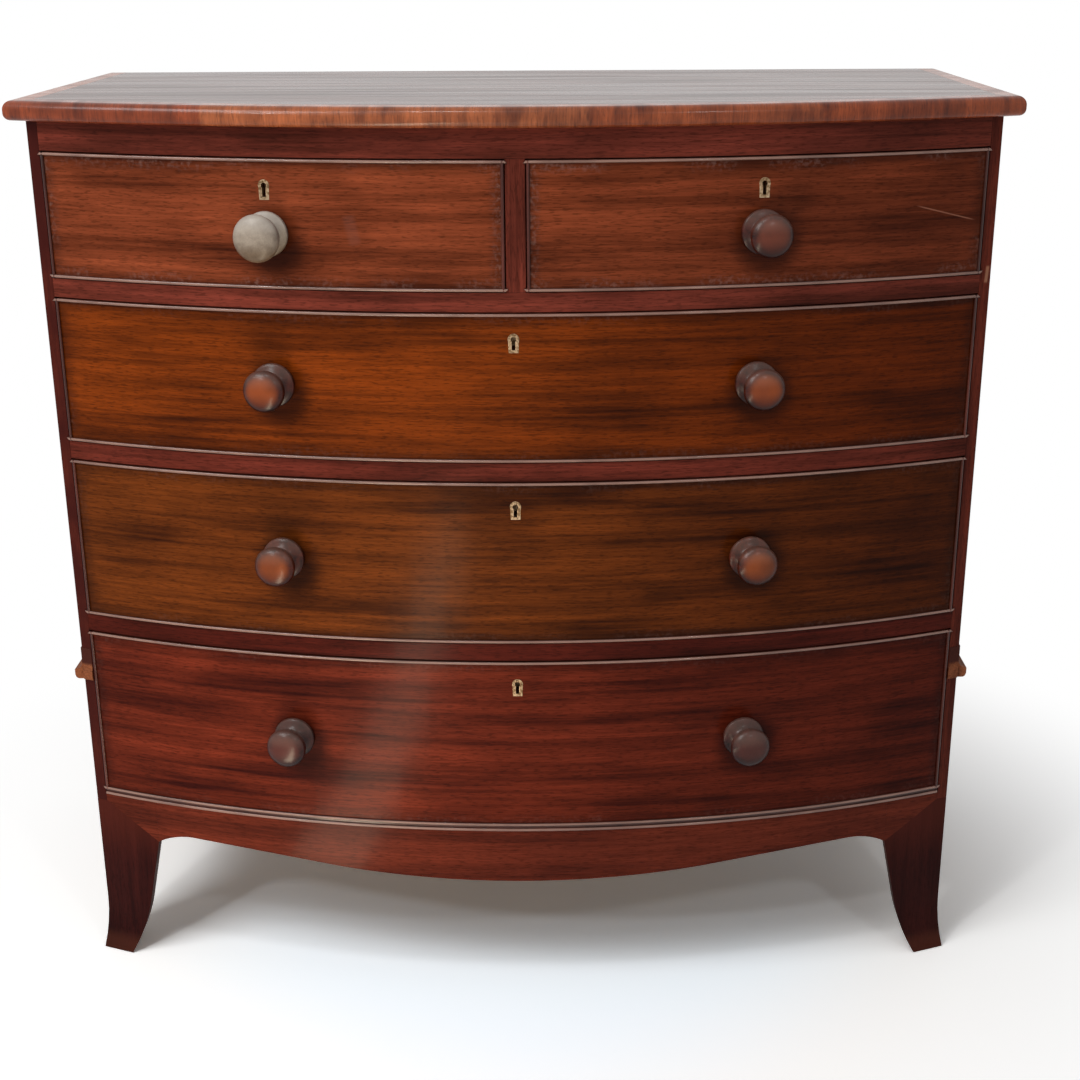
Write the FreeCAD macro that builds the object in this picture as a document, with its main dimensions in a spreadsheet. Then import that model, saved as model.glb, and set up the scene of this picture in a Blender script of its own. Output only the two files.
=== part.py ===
"""A bow front chest of drawers: two short drawers over three long ones.

The chest stands on the floor at Z = 0, its front faces -Y and its width runs along X. Every piece
is drawn about the upright axis of the bow, so that the curved fronts are arcs about the origin of
their sketches, and its Placement then carries it to the chest's own frame.
"""
import FreeCAD, Part
import math
import os

import Sketcher
from FreeCAD import Vector

# Millimetres, apart from the counts of dovetails and boards, and slopes.
SIZES = {
    # the case as a whole
    "case_width": 1050.0,  # over the outsides of the two sides
    "side_depth": 420.0,  # from a front corner to the back
    "bow_rise": 100.0,  # how far the middle of the front stands out from the corners
    "side_thickness": 13.0,
    # the top
    "top_thickness": 21.0,
    "top_overhang_side": 20.0,
    "top_overhang_front": 19.0,
    "top_band_width": 28.0,  # the cross-grained moulding round three edges
    "top_nose_radius": 6.0,
    # the rows of drawers, from the floor up
    "base_height": 225.0,  # floor to the board that the lowest drawer runs on
    "lower_front_height": 210.0,
    "middle_front_height": 190.0,
    "upper_front_height": 164.0,
    "short_front_height": 136.0,
    "rail_thickness": 21.0,
    "top_rail_height": 32.0,
    "gap_below": 0.9,  # clearances of a drawer in its opening
    "gap_above": 1.1,
    "gap_side": 1.0,
    # case joinery
    "rail_back": 60.0,  # back edge of the drawer rails, behind the front corners
    "top_rail_depth": 26.0,
    "tenon_length": 6.0,
    "tenon_width": 9.0,
    "tenon_setback": 6.0,
    "tenon_shoulder": 5.0,
    "muntin_width": 21.0,
    "muntin_offset": 3.5,  # the muntin stands this far right of the middle
    "muntin_depth": 36.0,
    "runner_width": 30.0,
    "centre_runner_width": 76.0,
    "bottom_thickness": 16.0,
    "back_thickness": 10.0,
    "back_rebate": 7.0,
    "back_board_count": 4.0,
    "back_board_gap": 0.8,
    "stop_width": 40.0,
    "stop_depth": 18.0,
    "stop_height": 5.0,
    "stop_gap": 0.4,
    "stop_spacing": 260.0,  # between the two stops of a drawer
    # base: apron, feet and blocks
    "facing_thickness": 20.0,
    "foot_top_width": 79.0,
    "foot_knee_width": 60.0,
    "foot_toe_width": 30.5,
    "foot_top_drop": 61.0,  # heights of the shaped lower edge, down from the base's top
    "foot_knee_height": 74.0,
    "foot_calf_radius": 252.0,
    "foot_flare": 8.5,
    "foot_flare_height": 69.0,
    "side_toe_width": 36.0,
    "arch_drop": 47.5,
    "arch_run": 46.0,
    "arch_radius": 85.0,
    "apron_sweep_drop": 63.0,  # where the apron's middle curve meets its end curves
    "apron_sweep_half": 215.0,
    "apron_sweep_radius": 2150.0,
    "base_bead_thickness": 4.0,
    "base_bead_drop": 2.0,
    "block_width": 34.0,
    "block_bottom": 106.0,
    "glue_block_length": 70.0,
    "glue_block_thickness": 22.0,
    "rear_bracket_thickness": 18.0,
    # side mouldings
    "moulding_bottom": 371.5,
    "moulding_ovolo": 4.0,
    "moulding_fillet": 8.5,
    "moulding_cove": 8.0,
    "moulding_frieze": 20.0,
    "moulding_projection": 11.0,
    "moulding_frieze_projection": 1.2,
    "moulding_return": 3.5,
    # drawers
    "glue_line": 0.05,  # between pieces of one node that are glued face to face
    "front_thickness": 22.0,
    "bead_thickness": 3.5,
    "bead_depth": 8.0,
    "bead_projection": 2.5,
    "drawer_side_thickness": 10.0,
    "drawer_back_thickness": 10.0,
    "drawer_back_clearance": 8.0,  # between a shut drawer and the back of the case
    "drawer_side_drop": 4.0,  # how far the sides stop below the top of the front
    "drawer_back_drop": 12.0,
    "tail_length": 9.5,
    "tail_slope": 0.2,
    "pin_width": 11.0,
    "short_tails": 3.0,
    "upper_tails": 3.0,
    "middle_tails": 4.0,
    "lower_tails": 4.0,
    "drawer_bottom_thickness": 7.0,
    "drawer_bottom_tongue": 5.0,  # what is left of it in the grooves and under the back
    "drawer_bottom_relief": 0.5,
    "drawer_bottom_rise": 10.0,
    "drawer_groove": 5.0,
    # locks
    "lock_width": 56.0,
    "lock_height": 38.0,
    "lock_thickness": 11.0,
    "lock_floor": 10.0,
    "bolt_width": 22.0,
    "bolt_thickness": 4.6,
    "bolt_play": 0.4,
    "bolt_travel": 7.0,
    "mortise_play": 0.8,
    "keyhole_drop": 32.0,  # from the top of the front to the middle of the escutcheon
    "keyhole_radius": 3.2,
    "keyhole_slot": 4.6,
    "keyhole_height": 15.0,
    "escutcheon_wall": 3.0,
    "escutcheon_depth": 6.0,
    "escutcheon_rise": 0.3,
    # knobs
    "knob_spacing_half": 261.5,
    "short_knob_drop": 10.0,  # the short drawers' knobs sit below the middle
    "knob_flange_radius": 24.0,
    "knob_head_radius": 23.0,
    "odd_knob_head_radius": 25.0,  # the replaced knob at the top left
    "knob_neck_radius": 12.0,
    "knob_ring_radius": 15.0,
    "knob_flange_rim": 4.0,
    "knob_neck_start": 10.0,
    "knob_ring": 15.0,
    "knob_head_start": 20.0,
    "knob_head_rim": 32.0,
    "knob_dome_share": 0.72,  # of the head's radius, where the dome's shoulder turns
    "knob_face_share": 0.3,
    "knob_dome_drop": 3.5,
    "knob_projection": 42.0,
}


FLARE_FLATS = 4  # straight steps in the curve of a splayed foot
KEYHOLE_FLATS = 6  # straight steps round the head of a keyhole
KNOB_FLATS = 16  # flats round a turned knob


# ------------------------------------------------------------------ formulas
class Formula:
    """A size as an expression of the sheet, together with the number it has now."""

    def __init__(self, text, number):
        self.text = text
        self.number = number

    def __add__(self, other):
        other = formula(other)
        return Formula(f"({self.text} + {other.text})", self.number + other.number)

    def __sub__(self, other):
        other = formula(other)
        return Formula(f"({self.text} - {other.text})", self.number - other.number)

    def __mul__(self, other):
        other = formula(other)
        return Formula(f"({self.text} * {other.text})", self.number * other.number)

    def __truediv__(self, other):
        other = formula(other)
        return Formula(f"({self.text} / {other.text})", self.number / other.number)

    def __radd__(self, other):
        return formula(other) + self

    def __rsub__(self, other):
        return formula(other) - self

    def __rmul__(self, other):
        return formula(other) * self

    def __rtruediv__(self, other):
        return formula(other) / self

    def __neg__(self):
        return Formula(f"(0 - {self.text})", -self.number)


def formula(item):
    """The item itself when it is a Formula, else a plain number as one."""
    if isinstance(item, Formula):
        return item
    return Formula(f"({float(item)!r})", float(item))


def root(item):
    return Formula(f"sqrt({item.text})", math.sqrt(item.number))


def arcsine(item):
    return Formula(f"asin({item.text})", math.degrees(math.asin(item.number)))


class Sheet:
    """Reads a size of the sheet by its name, as a Formula."""

    def __getattr__(self, name):
        return Formula(f"Sizes.{name}", SIZES[name])


size = Sheet()


def bind(target, path, item):
    """Ties a property to a formula of the sheet."""
    target.setExpression(path, formula(item).text)


# ------------------------------------------------------------------ the document
doc = FreeCAD.newDocument("bow_front_chest")
sheet = doc.addObject("Spreadsheet::Sheet", "Sizes")
for row, (alias, number) in enumerate(SIZES.items(), start=1):
    sheet.set(f"A{row}", alias)
    sheet.set(f"B{row}", str(number))
    sheet.setAlias(f"B{row}", alias)
doc.recompute()

# ------------------------------------------------------------------ derived places
ROWS = ("lower", "middle", "upper", "short")
FRONT_HEIGHTS = {
    "lower": size.lower_front_height,
    "middle": size.middle_front_height,
    "upper": size.upper_front_height,
    "short": size.short_front_height,
}
TAILS = {
    "lower": size.lower_tails,
    "middle": size.middle_tails,
    "upper": size.upper_tails,
    "short": size.short_tails,
}

half_width = size.case_width / 2
inside = half_width - size.side_thickness
bow_radius = (half_width * half_width + size.bow_rise * size.bow_rise) / (2 * size.bow_rise)
bow_centre = bow_radius - size.bow_rise  # the bow's axis, behind the line of the front corners
frame_shift = (size.bow_rise + size.top_overhang_front - size.side_depth) / 2

opening_bottom = {}
opening_top = {}
level = size.base_height
for row in ROWS:
    opening_bottom[row] = level
    opening_top[row] = level + FRONT_HEIGHTS[row] + size.gap_below + size.gap_above
    level = opening_top[row] + size.rail_thickness
side_bottom = size.base_height - size.bottom_thickness
apron_top = size.base_height - size.base_bead_drop - size.base_bead_thickness
top_board_bottom = opening_top["short"] + size.top_rail_height
foot_top = size.base_height - size.foot_top_drop
arch_top = size.base_height - size.arch_drop
sweep_end = size.base_height - size.apron_sweep_drop
muntin_left = size.muntin_offset - size.muntin_width / 2
muntin_right = size.muntin_offset + size.muntin_width / 2


def depth(distance):
    """Y, about the bow's axis, of a plane this far behind the front corners."""
    return distance - bow_centre


def in_order(one, other):
    """The lesser of two formulas, then the greater."""
    return (one, other) if one.number < other.number else (other, one)


def on_arc(radius, across):
    """Y, about the bow's axis, of the point of an arc that stands at X = across."""
    return -root(radius * radius - across * across)


back_face = depth(size.side_depth - size.back_thickness)
drawer_back = back_face - size.drawer_back_clearance


# ------------------------------------------------------------------ sketches
class Round:
    """An edge that is an arc about the sketch's origin.

    Its corners are held across the sketch only, as the arc settles the rest.
    """

    def __init__(self, radius):
        self.radius = formula(radius)


class Bend:
    """An edge that is an arc of a radius through its two corners; side +1 turns it leftwards."""

    def __init__(self, radius, side):
        self.radius = formula(radius)
        self.side = side


def new_body(name, turned_to=None):
    """A body about the bow's axis; turned_to is the X on the bow that it is turned round to."""
    body = doc.addObject("PartDesign::Body", name)
    body.AllowCompound = True
    bind(body, "Placement.Base.y", frame_shift + bow_centre)
    if turned_to is not None:
        bind(body, "Placement.Rotation.Angle", arcsine(turned_to / bow_radius))
    return body


def attach(body, item, plane, offset=0):
    """Puts a sketch or a primitive on one of the body's origin planes, moved along its normal."""
    item.AttachmentSupport = ([p for p in body.Origin.OriginFeatures if p.Role == plane][0], [""])
    item.MapMode = "FlatFace"
    bind(item, "AttachmentOffset.Base.z", offset)


def arc_geometry(start, end, centre, radius, turn=None):
    """An arc between two points, the shorter one if no turn is given, and whether it runs from start to end."""
    first = math.atan2(start.y - centre.y, start.x - centre.x)
    last = math.atan2(end.y - centre.y, end.x - centre.x)
    sweep = (last - first) % (2 * math.pi)
    forward = turn > 0 if turn else sweep <= math.pi
    circle = Part.Circle(centre, Vector(0, 0, 1), radius)
    if forward:
        return Part.ArcOfCircle(circle, first, last), True
    return Part.ArcOfCircle(circle, last, first), False


def bend_centre(start, end, edge):
    chord = end - start
    reach = math.sqrt(edge.radius.number**2 - (chord.Length / 2) ** 2)
    left = Vector(-chord.y, chord.x, 0).normalize()
    return (start + end) * 0.5 + left * (reach * edge.side)


def add_loop(sketch, corners, edges):
    """Adds one closed outline, fixed corner by corner to formulas of the sheet."""
    count = len(corners)
    first = sketch.GeometryCount
    points = [Vector(formula(x).number, formula(y).number, 0) for x, y in corners]
    geometry = []
    forwards = []
    rules = []
    ties = []
    for index, start in enumerate(points):
        end = points[(index + 1) % count]
        edge = edges.get(index)
        forward = True
        if isinstance(edge, Round):
            arc, forward = arc_geometry(start, end, Vector(0, 0, 0), edge.radius.number)
            geometry.append(arc)
        elif isinstance(edge, Bend):
            centre = bend_centre(start, end, edge)
            arc, forward = arc_geometry(start, end, centre, edge.radius.number, edge.side)
            geometry.append(arc)
        else:
            geometry.append(Part.LineSegment(start, end))
        forwards.append(forward)
    for index in range(count):
        after = (index + 1) % count
        end_point = 2 if forwards[index] else 1
        start_point = 1 if forwards[after] else 2
        rules.append(Sketcher.Constraint("Coincident", first + index, end_point, first + after, start_point))
    for index, (x, y) in enumerate(corners):
        point = 1 if forwards[index] else 2
        beside = (edges.get(index), edges.get((index - 1) % count))
        held = [("DistanceX", x)]
        if not any(isinstance(edge, Round) for edge in beside):
            held.append(("DistanceY", y))
        for kind, value in held:
            ties.append((len(rules), value))
            rules.append(Sketcher.Constraint(kind, -1, 1, first + index, point, formula(value).number))
    for index, edge in edges.items():
        ties.append((len(rules), edge.radius))
        rules.append(Sketcher.Constraint("Radius", first + index, edge.radius.number))
        if isinstance(edge, Round):
            rules.append(Sketcher.Constraint("Coincident", first + index, 3, -1, 1))
    base = sketch.ConstraintCount
    sketch.addGeometry(geometry, False)
    sketch.addConstraint(rules)
    for index, value in ties:
        bind(sketch, f"Constraints[{base + index}]", value)


def new_sketch(body, plane, corners, edges=None, offset=0):
    sketch = body.newObject("Sketcher::SketchObject", f"{body.Name}_sketch")
    attach(body, sketch, plane, offset)
    add_loop(sketch, corners, edges or {})
    return sketch


# ------------------------------------------------------------------ features
def pad(body, sketch, length, both_ways=False):
    """Pads a sketch along its normal, or half each way."""
    feature = body.newObject("PartDesign::Pad", f"{body.Name}_pad")
    feature.Profile = sketch
    feature.SideType = "Symmetric" if both_ways else "One side"
    bind(feature, "Length", length)
    return feature


def pocket(body, sketch):
    """Cuts a sketch's outline right through the body, both ways."""
    feature = body.newObject("PartDesign::Pocket", f"{body.Name}_pocket")
    feature.Profile = sketch
    feature.Type = "ThroughAll"
    feature.SideType = "Symmetric"
    return feature


def revolve(body, sketch, sweep):
    """Turns a sketch about its own upright axis, half of the sweep each way."""
    feature = body.newObject("PartDesign::Revolution", f"{body.Name}_revolution")
    feature.Profile = sketch
    feature.ReferenceAxis = (sketch, ["V_Axis"])
    feature.Midplane = True
    bind(feature, "Angle", sweep)
    return feature


def repeat(body, sketch, feature, count, extent):
    """Repeats a feature along its sketch's upright axis."""
    pattern = body.newObject("PartDesign::LinearPattern", f"{body.Name}_pattern")
    pattern.Originals = [feature]
    pattern.Direction = (sketch, ["V_Axis"])
    bind(pattern, "Length", extent)
    bind(pattern, "Occurrences", count)
    body.Tip = pattern


def box(body, low, high, kind="Additive", turned_to=None):
    """A block of the body between two corners, turned about the bow's axis if asked."""
    feature = body.newObject(f"PartDesign::{kind}Box", f"{body.Name}_{kind.lower()}")
    attach(body, feature, "XY_Plane", low[2])
    for prop, start, end in zip(("Length", "Width", "Height"), low, high):
        bind(feature, prop, formula(end) - formula(start))
    x, y = formula(low[0]), formula(low[1])
    if turned_to is not None:
        sine = turned_to / bow_radius
        cosine = root(1 - sine * sine)
        bind(feature, "AttachmentOffset.Rotation.Angle", arcsine(sine))
        x, y = x * cosine - y * sine, x * sine + y * cosine
    bind(feature, "AttachmentOffset.Base.x", x)
    bind(feature, "AttachmentOffset.Base.y", y)
    return feature


def cut(name, base, tools):
    """The base with each tool taken out of it in turn."""
    result = base
    for index, tool in enumerate(tools):
        last = index == len(tools) - 1
        step = doc.addObject("Part::Cut", name if last else f"{name}_step")
        step.Base = result
        step.Tool = tool
        result = step
    return result


def common(name, base, tool):
    result = doc.addObject("Part::Common", name)
    result.Base = base
    result.Tool = tool
    return result


def group(name, pieces):
    """Several separate solids that make one node."""
    result = doc.addObject("Part::Compound", name)
    result.Links = pieces
    return result


nodes = {}


def keep(name, piece):
    """Names a finished piece; its label names its file."""
    piece.Label = name
    nodes[name] = piece
    return piece


# ------------------------------------------------------------------ the case
def bowed_board(body, left, right, front_radius, back, bottom, top):
    """A board with a bowed front edge; back is a depth, or a Round for a bowed back."""
    front_left = (left, on_arc(front_radius, left))
    front_right = (right, on_arc(front_radius, right))
    edges = {0: Round(front_radius)}
    back_left = back
    back_right = back
    if isinstance(back, Round):
        edges[2] = back
        back_left = on_arc(back.radius, left)
        back_right = on_arc(back.radius, right)
    corners = [front_left, front_right, (right, back_right), (left, back_left)]
    sketch = new_sketch(body, "XY_Plane", corners, edges, offset=bottom)
    return pad(body, sketch, top - bottom)


def side_blank(name, sign):
    """A case side: bowed front edge, and a rebate for the back boards."""
    body = new_body(f"{name}_blank")
    low, high = in_order(sign * inside, sign * half_width)
    bowed_board(body, low, high, bow_radius, depth(size.side_depth), side_bottom, top_board_bottom)
    low, high = in_order(sign * inside, sign * (inside + size.back_rebate))
    box(body, (low, back_face, side_bottom), (high, depth(size.side_depth), top_board_bottom), "Subtractive")
    return body


def add_tenons(body, bottom, top, start, finish):
    """Stub tenons on both ends of a rail, between two distances behind the front corners."""
    for sign in (-1, 1):
        low, high = in_order(sign * (inside - size.tenon_length), sign * (inside + size.tenon_length))
        box(
            body,
            (low, depth(start), bottom + size.tenon_shoulder),
            (high, depth(finish), top - size.tenon_shoulder),
        )


def lock_mortise(body, bottom, across):
    """The hole in the underside of a rail that a lock's bolt rises into."""
    half = size.bolt_width / 2 + size.mortise_play
    middle = size.front_thickness - size.lock_thickness / 2
    reach = size.bolt_thickness / 2 + size.mortise_play
    box(
        body,
        (-half, middle - reach - bow_radius, bottom),
        (half, middle + reach - bow_radius, bottom + size.bolt_travel + size.mortise_play),
        "Subtractive",
        turned_to=across,
    )


def drawer_rail(row, below):
    """The rail under one row of drawers, with the mortise for the lock of the drawer below."""
    bottom = opening_top[below]
    top = opening_bottom[row]
    body = new_body(f"rail_{row}_blank")
    bowed_board(body, -inside, inside, bow_radius, depth(size.rail_back), bottom, top)
    add_tenons(body, bottom, top, size.tenon_setback, size.rail_back - size.tenon_setback)
    lock_mortise(body, bottom, formula(0))
    return body


def short_centre(sign):
    """X of the middle of a short drawer."""
    if sign < 0:
        return (muntin_left - inside) / 2
    return (muntin_right + inside) / 2


def build_frame():
    """Sides, rails and the muntin between the short drawers."""
    muntin = new_body("muntin_body")
    bottom = opening_bottom["short"]
    top = opening_top["short"]
    muntin_back = size.muntin_depth - bow_radius
    bowed_board(muntin, muntin_left, muntin_right, bow_radius, muntin_back, bottom, top)
    tenon = size.tenon_length
    setback = 2 * size.tenon_setback
    box(
        muntin,
        (muntin_left + tenon / 2, setback - bow_radius, bottom - tenon),
        (muntin_right - tenon / 2, setback + size.tenon_width - bow_radius, top + tenon),
    )
    keep("muntin", muntin)

    top_rail = new_body("top_rail_blank")
    back = Round(bow_radius - size.top_rail_depth)
    bowed_board(top_rail, -inside, inside, bow_radius, back, top, top_board_bottom)
    tenon_end = size.tenon_setback + size.tenon_width
    add_tenons(top_rail, top, top_board_bottom, size.tenon_setback, tenon_end)
    for sign in (-1, 1):
        lock_mortise(top_rail, top, short_centre(sign))
    keep("top_rail", cut("top_rail_cut", top_rail, [muntin]))

    upper = drawer_rail("short", "upper")
    rails = [cut("rail_short_cut", upper, [muntin]), drawer_rail("upper", "middle")]
    rails.append(drawer_rail("middle", "lower"))
    keep("drawer_rails", group("rails_group", rails))

    bottom_board = new_body("bottom_board_body")
    front = bow_radius - size.facing_thickness
    bowed_board(bottom_board, -inside, inside, front, back_face, side_bottom, size.base_height)
    tenon_end = size.side_depth - size.rail_back
    add_tenons(bottom_board, side_bottom, size.base_height, size.rail_back, tenon_end)
    keep("bottom_board", bottom_board)

    for name, sign in (("side_left", -1), ("side_right", 1)):
        tools = [top_rail, *rails, bottom_board]
        keep(name, cut(f"{name}_cut", side_blank(name, sign), tools))


def build_partition_and_runners():
    """What the drawers run between, on and under, behind the rails."""
    bottom = opening_bottom["short"]
    top = opening_top["short"]
    partition_front = size.muntin_depth - bow_radius
    partition = new_body("partition_body")
    box(partition, (muntin_left, partition_front, bottom), (muntin_right, back_face, top))
    keep("drawer_partition", partition)

    runners = new_body("runners_body")
    levels = [
        (opening_top["lower"], opening_bottom["middle"]),
        (opening_top["middle"], opening_bottom["upper"]),
        (opening_top["upper"], opening_bottom["short"]),
        (opening_top["short"], top_board_bottom),
    ]
    start = depth(size.rail_back)
    for low, high in levels:
        box(runners, (-inside, start, low), (size.runner_width - inside, back_face, high))
        box(runners, (inside - size.runner_width, start, low), (inside, back_face, high))
    centre_left = size.muntin_offset - size.centre_runner_width / 2
    centre_right = size.muntin_offset + size.centre_runner_width / 2
    for low, high in levels[2:]:
        box(runners, (centre_left, start, low), (centre_right, back_face, high))
    keep("drawer_runners", runners)


def build_stops():
    """Small blocks on the rails that the drawer fronts come to rest on."""
    stops = new_body("stops_body")
    front = size.front_thickness + size.stop_gap - bow_radius
    half = size.stop_width / 2
    places = [(row, formula(0)) for row in ("lower", "middle", "upper")]
    places += [("short", short_centre(sign)) for sign in (-1, 1)]
    for row, middle in places:
        for sign in (-1, 1):
            box(
                stops,
                (-half, front, opening_bottom[row]),
                (half, front + size.stop_depth, opening_bottom[row] + size.stop_height),
                turned_to=middle + sign * size.stop_spacing / 2,
            )
    keep("drawer_stops", stops)


def build_back():
    """Upright boards in the rebates of the sides."""
    body = new_body("back_body")
    reach = inside + size.back_rebate - size.back_board_gap
    pitch = (2 * reach + size.back_board_gap) / size.back_board_count
    corners = [
        (-reach, back_face),
        (pitch - size.back_board_gap - reach, back_face),
        (pitch - size.back_board_gap - reach, depth(size.side_depth)),
        (-reach, depth(size.side_depth)),
    ]
    sketch = new_sketch(body, "XY_Plane", corners, offset=side_bottom)
    board = pad(body, sketch, top_board_bottom - side_bottom)
    pattern = body.newObject("PartDesign::LinearPattern", "back_pattern")
    pattern.Originals = [board]
    pattern.Direction = (sketch, ["H_Axis"])
    bind(pattern, "Length", pitch * (size.back_board_count - 1))
    bind(pattern, "Occurrences", size.back_board_count)
    body.Tip = pattern
    keep("back_boards", body)


def build_top():
    """The top board, and the moulding that runs round its front and sides, mitred at the corners."""
    nose = size.top_nose_radius
    low = top_board_bottom
    high = top_board_bottom + size.top_thickness
    outer = bow_radius + size.top_overhang_front
    inner = outer - size.top_band_width
    outer_x = half_width + size.top_overhang_side
    inner_x = outer_x - size.top_band_width
    back = depth(size.side_depth)
    board = new_body("top_board_body")
    bowed_board(board, -inner_x, inner_x, inner, back, low, high)
    keep("top_board", board)

    def section(near, far):
        """A strip between an inner and an outer edge, its outer arrises worn round."""
        turn = far - nose if far.number > near.number else far + nose
        return [(near, low), (turn, low), (far, low + nose), (far, high - nose), (turn, high), (near, high)]

    front = new_body("top_front_strip")
    sketch = new_sketch(front, "YZ_Plane", section(-inner, -outer))
    revolve(front, sketch, 2.2 * arcsine(outer_x / inner))
    strips = [front]
    for sign in (-1, 1):
        mitre_in = (sign * inner_x, on_arc(inner, inner_x))
        mitre_out = (sign * outer_x, on_arc(outer, outer_x))
        beyond = sign * 2 * outer_x
        waste = [mitre_in, mitre_out, (beyond, mitre_out[1]), (beyond, back), (sign * inner_x, back)]
        pocket(front, new_sketch(front, "XY_Plane", waste))

        strip = new_body("top_side_strip")
        sketch = new_sketch(strip, "XZ_Plane", section(sign * inner_x, sign * outer_x), offset=-back)
        pad(strip, sketch, back - on_arc(outer, inner_x) + size.top_band_width)
        slope = (mitre_out[1] - mitre_in[1]) / size.top_band_width
        ahead = size.top_band_width
        waste = [
            (sign * (inner_x - ahead), mitre_in[1] - slope * ahead + size.glue_line),
            (sign * (outer_x + ahead), mitre_out[1] + slope * ahead + size.glue_line),
            (sign * (outer_x + ahead), mitre_in[1] - 4 * ahead),
            (sign * (inner_x - ahead), mitre_in[1] - 4 * ahead),
        ]
        pocket(strip, new_sketch(strip, "XY_Plane", waste))
        strips.append(strip)
    keep("top_edge_moulding", group("top_edge_group", strips))


# ------------------------------------------------------------------ the base
def foot_inner_edge(sign, top_width, toe_width):
    """Corners down the inner edge of a foot, from its top to its toe, as X or depth."""
    return [
        (sign * (half_width - top_width), foot_top),
        (sign * (half_width - size.foot_knee_width), size.foot_knee_height),
        (sign * (half_width - toe_width), formula(0)),
    ]


def flared_face(face, sign):
    """A foot's outer face from the floor up, as (place, height); it kicks out more and more downwards."""
    steps = [step / FLARE_FLATS for step in range(FLARE_FLATS + 1)]
    return [
        (face + sign * size.foot_flare * (1 - step) * (1 - step), size.foot_flare_height * step)
        for step in steps
    ]


def build_bead():
    """The strip along the top of the apron and the feet; the lower part of its edge stands out as a bead."""
    body = new_body("apron_bead_body")
    low = apron_top
    high = apron_top + size.base_bead_thickness
    back = size.facing_thickness - bow_radius
    tip = bow_radius + size.bead_projection
    corners = [
        (back, low),
        (-tip, low),
        (-tip, high),
        (-bow_radius, high),
        (-bow_radius, size.base_height),
        (back, size.base_height),
    ]
    sketch = new_sketch(body, "YZ_Plane", corners)
    revolve(body, sketch, 2.1 * arcsine(inside / (bow_radius - size.facing_thickness)))
    for sign in (-1, 1):
        start, end = in_order(sign * (inside - size.gap_side), sign * size.case_width)
        near = -tip - size.side_thickness
        box(body, (start, near, low), (end, depth(size.side_depth), size.base_height), "Subtractive")
    keep("apron_bead", body)


def build_apron():
    """The bowed apron between the feet, with its shaped lower edge."""
    half = half_width - size.foot_top_width
    blank = new_body("apron_blank")
    back = Round(bow_radius - size.facing_thickness)
    lowest = size.foot_knee_height
    bowed_board(blank, -half, half, bow_radius, back, lowest, apron_top)
    beyond = half + size.facing_thickness
    below = lowest - size.facing_thickness
    corners = [
        (-beyond, below),
        (-beyond, foot_top),
        (-half, foot_top),
        (size.arch_run - half, arch_top),
        (-size.apron_sweep_half, sweep_end),
        (size.apron_sweep_half, sweep_end),
        (half - size.arch_run, arch_top),
        (half, foot_top),
        (beyond, foot_top),
        (beyond, below),
    ]
    edges = {
        2: Bend(size.arch_radius, -1),
        3: Bend(size.apron_sweep_radius, -1),
        4: Bend(size.apron_sweep_radius, 1),
        5: Bend(size.apron_sweep_radius, -1),
        6: Bend(size.arch_radius, -1),
    }
    pocket(blank, new_sketch(blank, "XZ_Plane", corners, edges))
    keep("front_apron", blank)


def build_front_foot(name, sign):
    """A front foot's facing: a bowed board that flares at the toe, sawn to the foot's outline."""
    blank = new_body(f"{name}_blank")
    inner = size.facing_thickness - bow_radius
    corners = [(inner, formula(0)), *flared_face(-bow_radius, -1)]
    corners += [(-bow_radius, apron_top), (inner, apron_top)]
    sketch = new_sketch(blank, "YZ_Plane", corners)
    widest = half_width + size.foot_flare
    revolve(blank, sketch, 2.1 * arcsine(widest / (bow_radius - size.facing_thickness)))

    outline = new_body(f"{name}_outline")
    corners = [
        (sign * (half_width - size.foot_top_width), size.base_height),
        *foot_inner_edge(sign, size.foot_top_width, size.foot_toe_width),
        *flared_face(sign * half_width, sign),
        (sign * half_width, side_bottom),
        (sign * inside, side_bottom),
        (sign * inside, size.base_height),
    ]
    sketch = new_sketch(outline, "XZ_Plane", corners, {2: Bend(size.foot_calf_radius, sign)})
    pad(outline, sketch, 2 * bow_radius + 2 * size.case_width, both_ways=True)
    rear = (-half_width - size.case_width, formula(0) - size.bow_rise, -size.facing_thickness)
    front = (half_width + size.case_width, bow_radius + size.case_width + size.case_width, size.case_width)
    box(outline, rear, front, "Subtractive")
    return keep(name, common(f"{name}_common", blank, outline))


def build_base_side(name, sign, foot):
    """The facing under a case side, with its two feet, behind the front foot's facing."""
    body = new_body(f"{name}_blank")
    inner = sign * (half_width - size.facing_thickness)
    corners = [(inner, formula(0)), *flared_face(sign * half_width, sign)]
    corners += [(sign * half_width, side_bottom), (inner, side_bottom)]
    sketch = new_sketch(body, "XZ_Plane", corners, offset=-depth(size.side_depth))
    pad(body, sketch, size.side_depth)
    front_edge = [
        (depth(size.side_toe_width), formula(0)),
        (depth(size.foot_knee_width), size.foot_knee_height),
        (depth(size.foot_top_width), foot_top),
        (depth(size.foot_top_width + size.arch_run), arch_top),
    ]
    back_edge = [(depth(size.side_depth) + depth(0) - y, z) for y, z in reversed(front_edge)]
    edges = {
        0: Bend(size.foot_calf_radius, -1),
        2: Bend(size.arch_radius, -1),
        4: Bend(size.arch_radius, -1),
        6: Bend(size.foot_calf_radius, -1),
    }
    pocket(body, new_sketch(body, "YZ_Plane", front_edge + back_edge, edges))
    return keep(name, cut(f"{name}_cut", body, [foot]))


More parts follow.
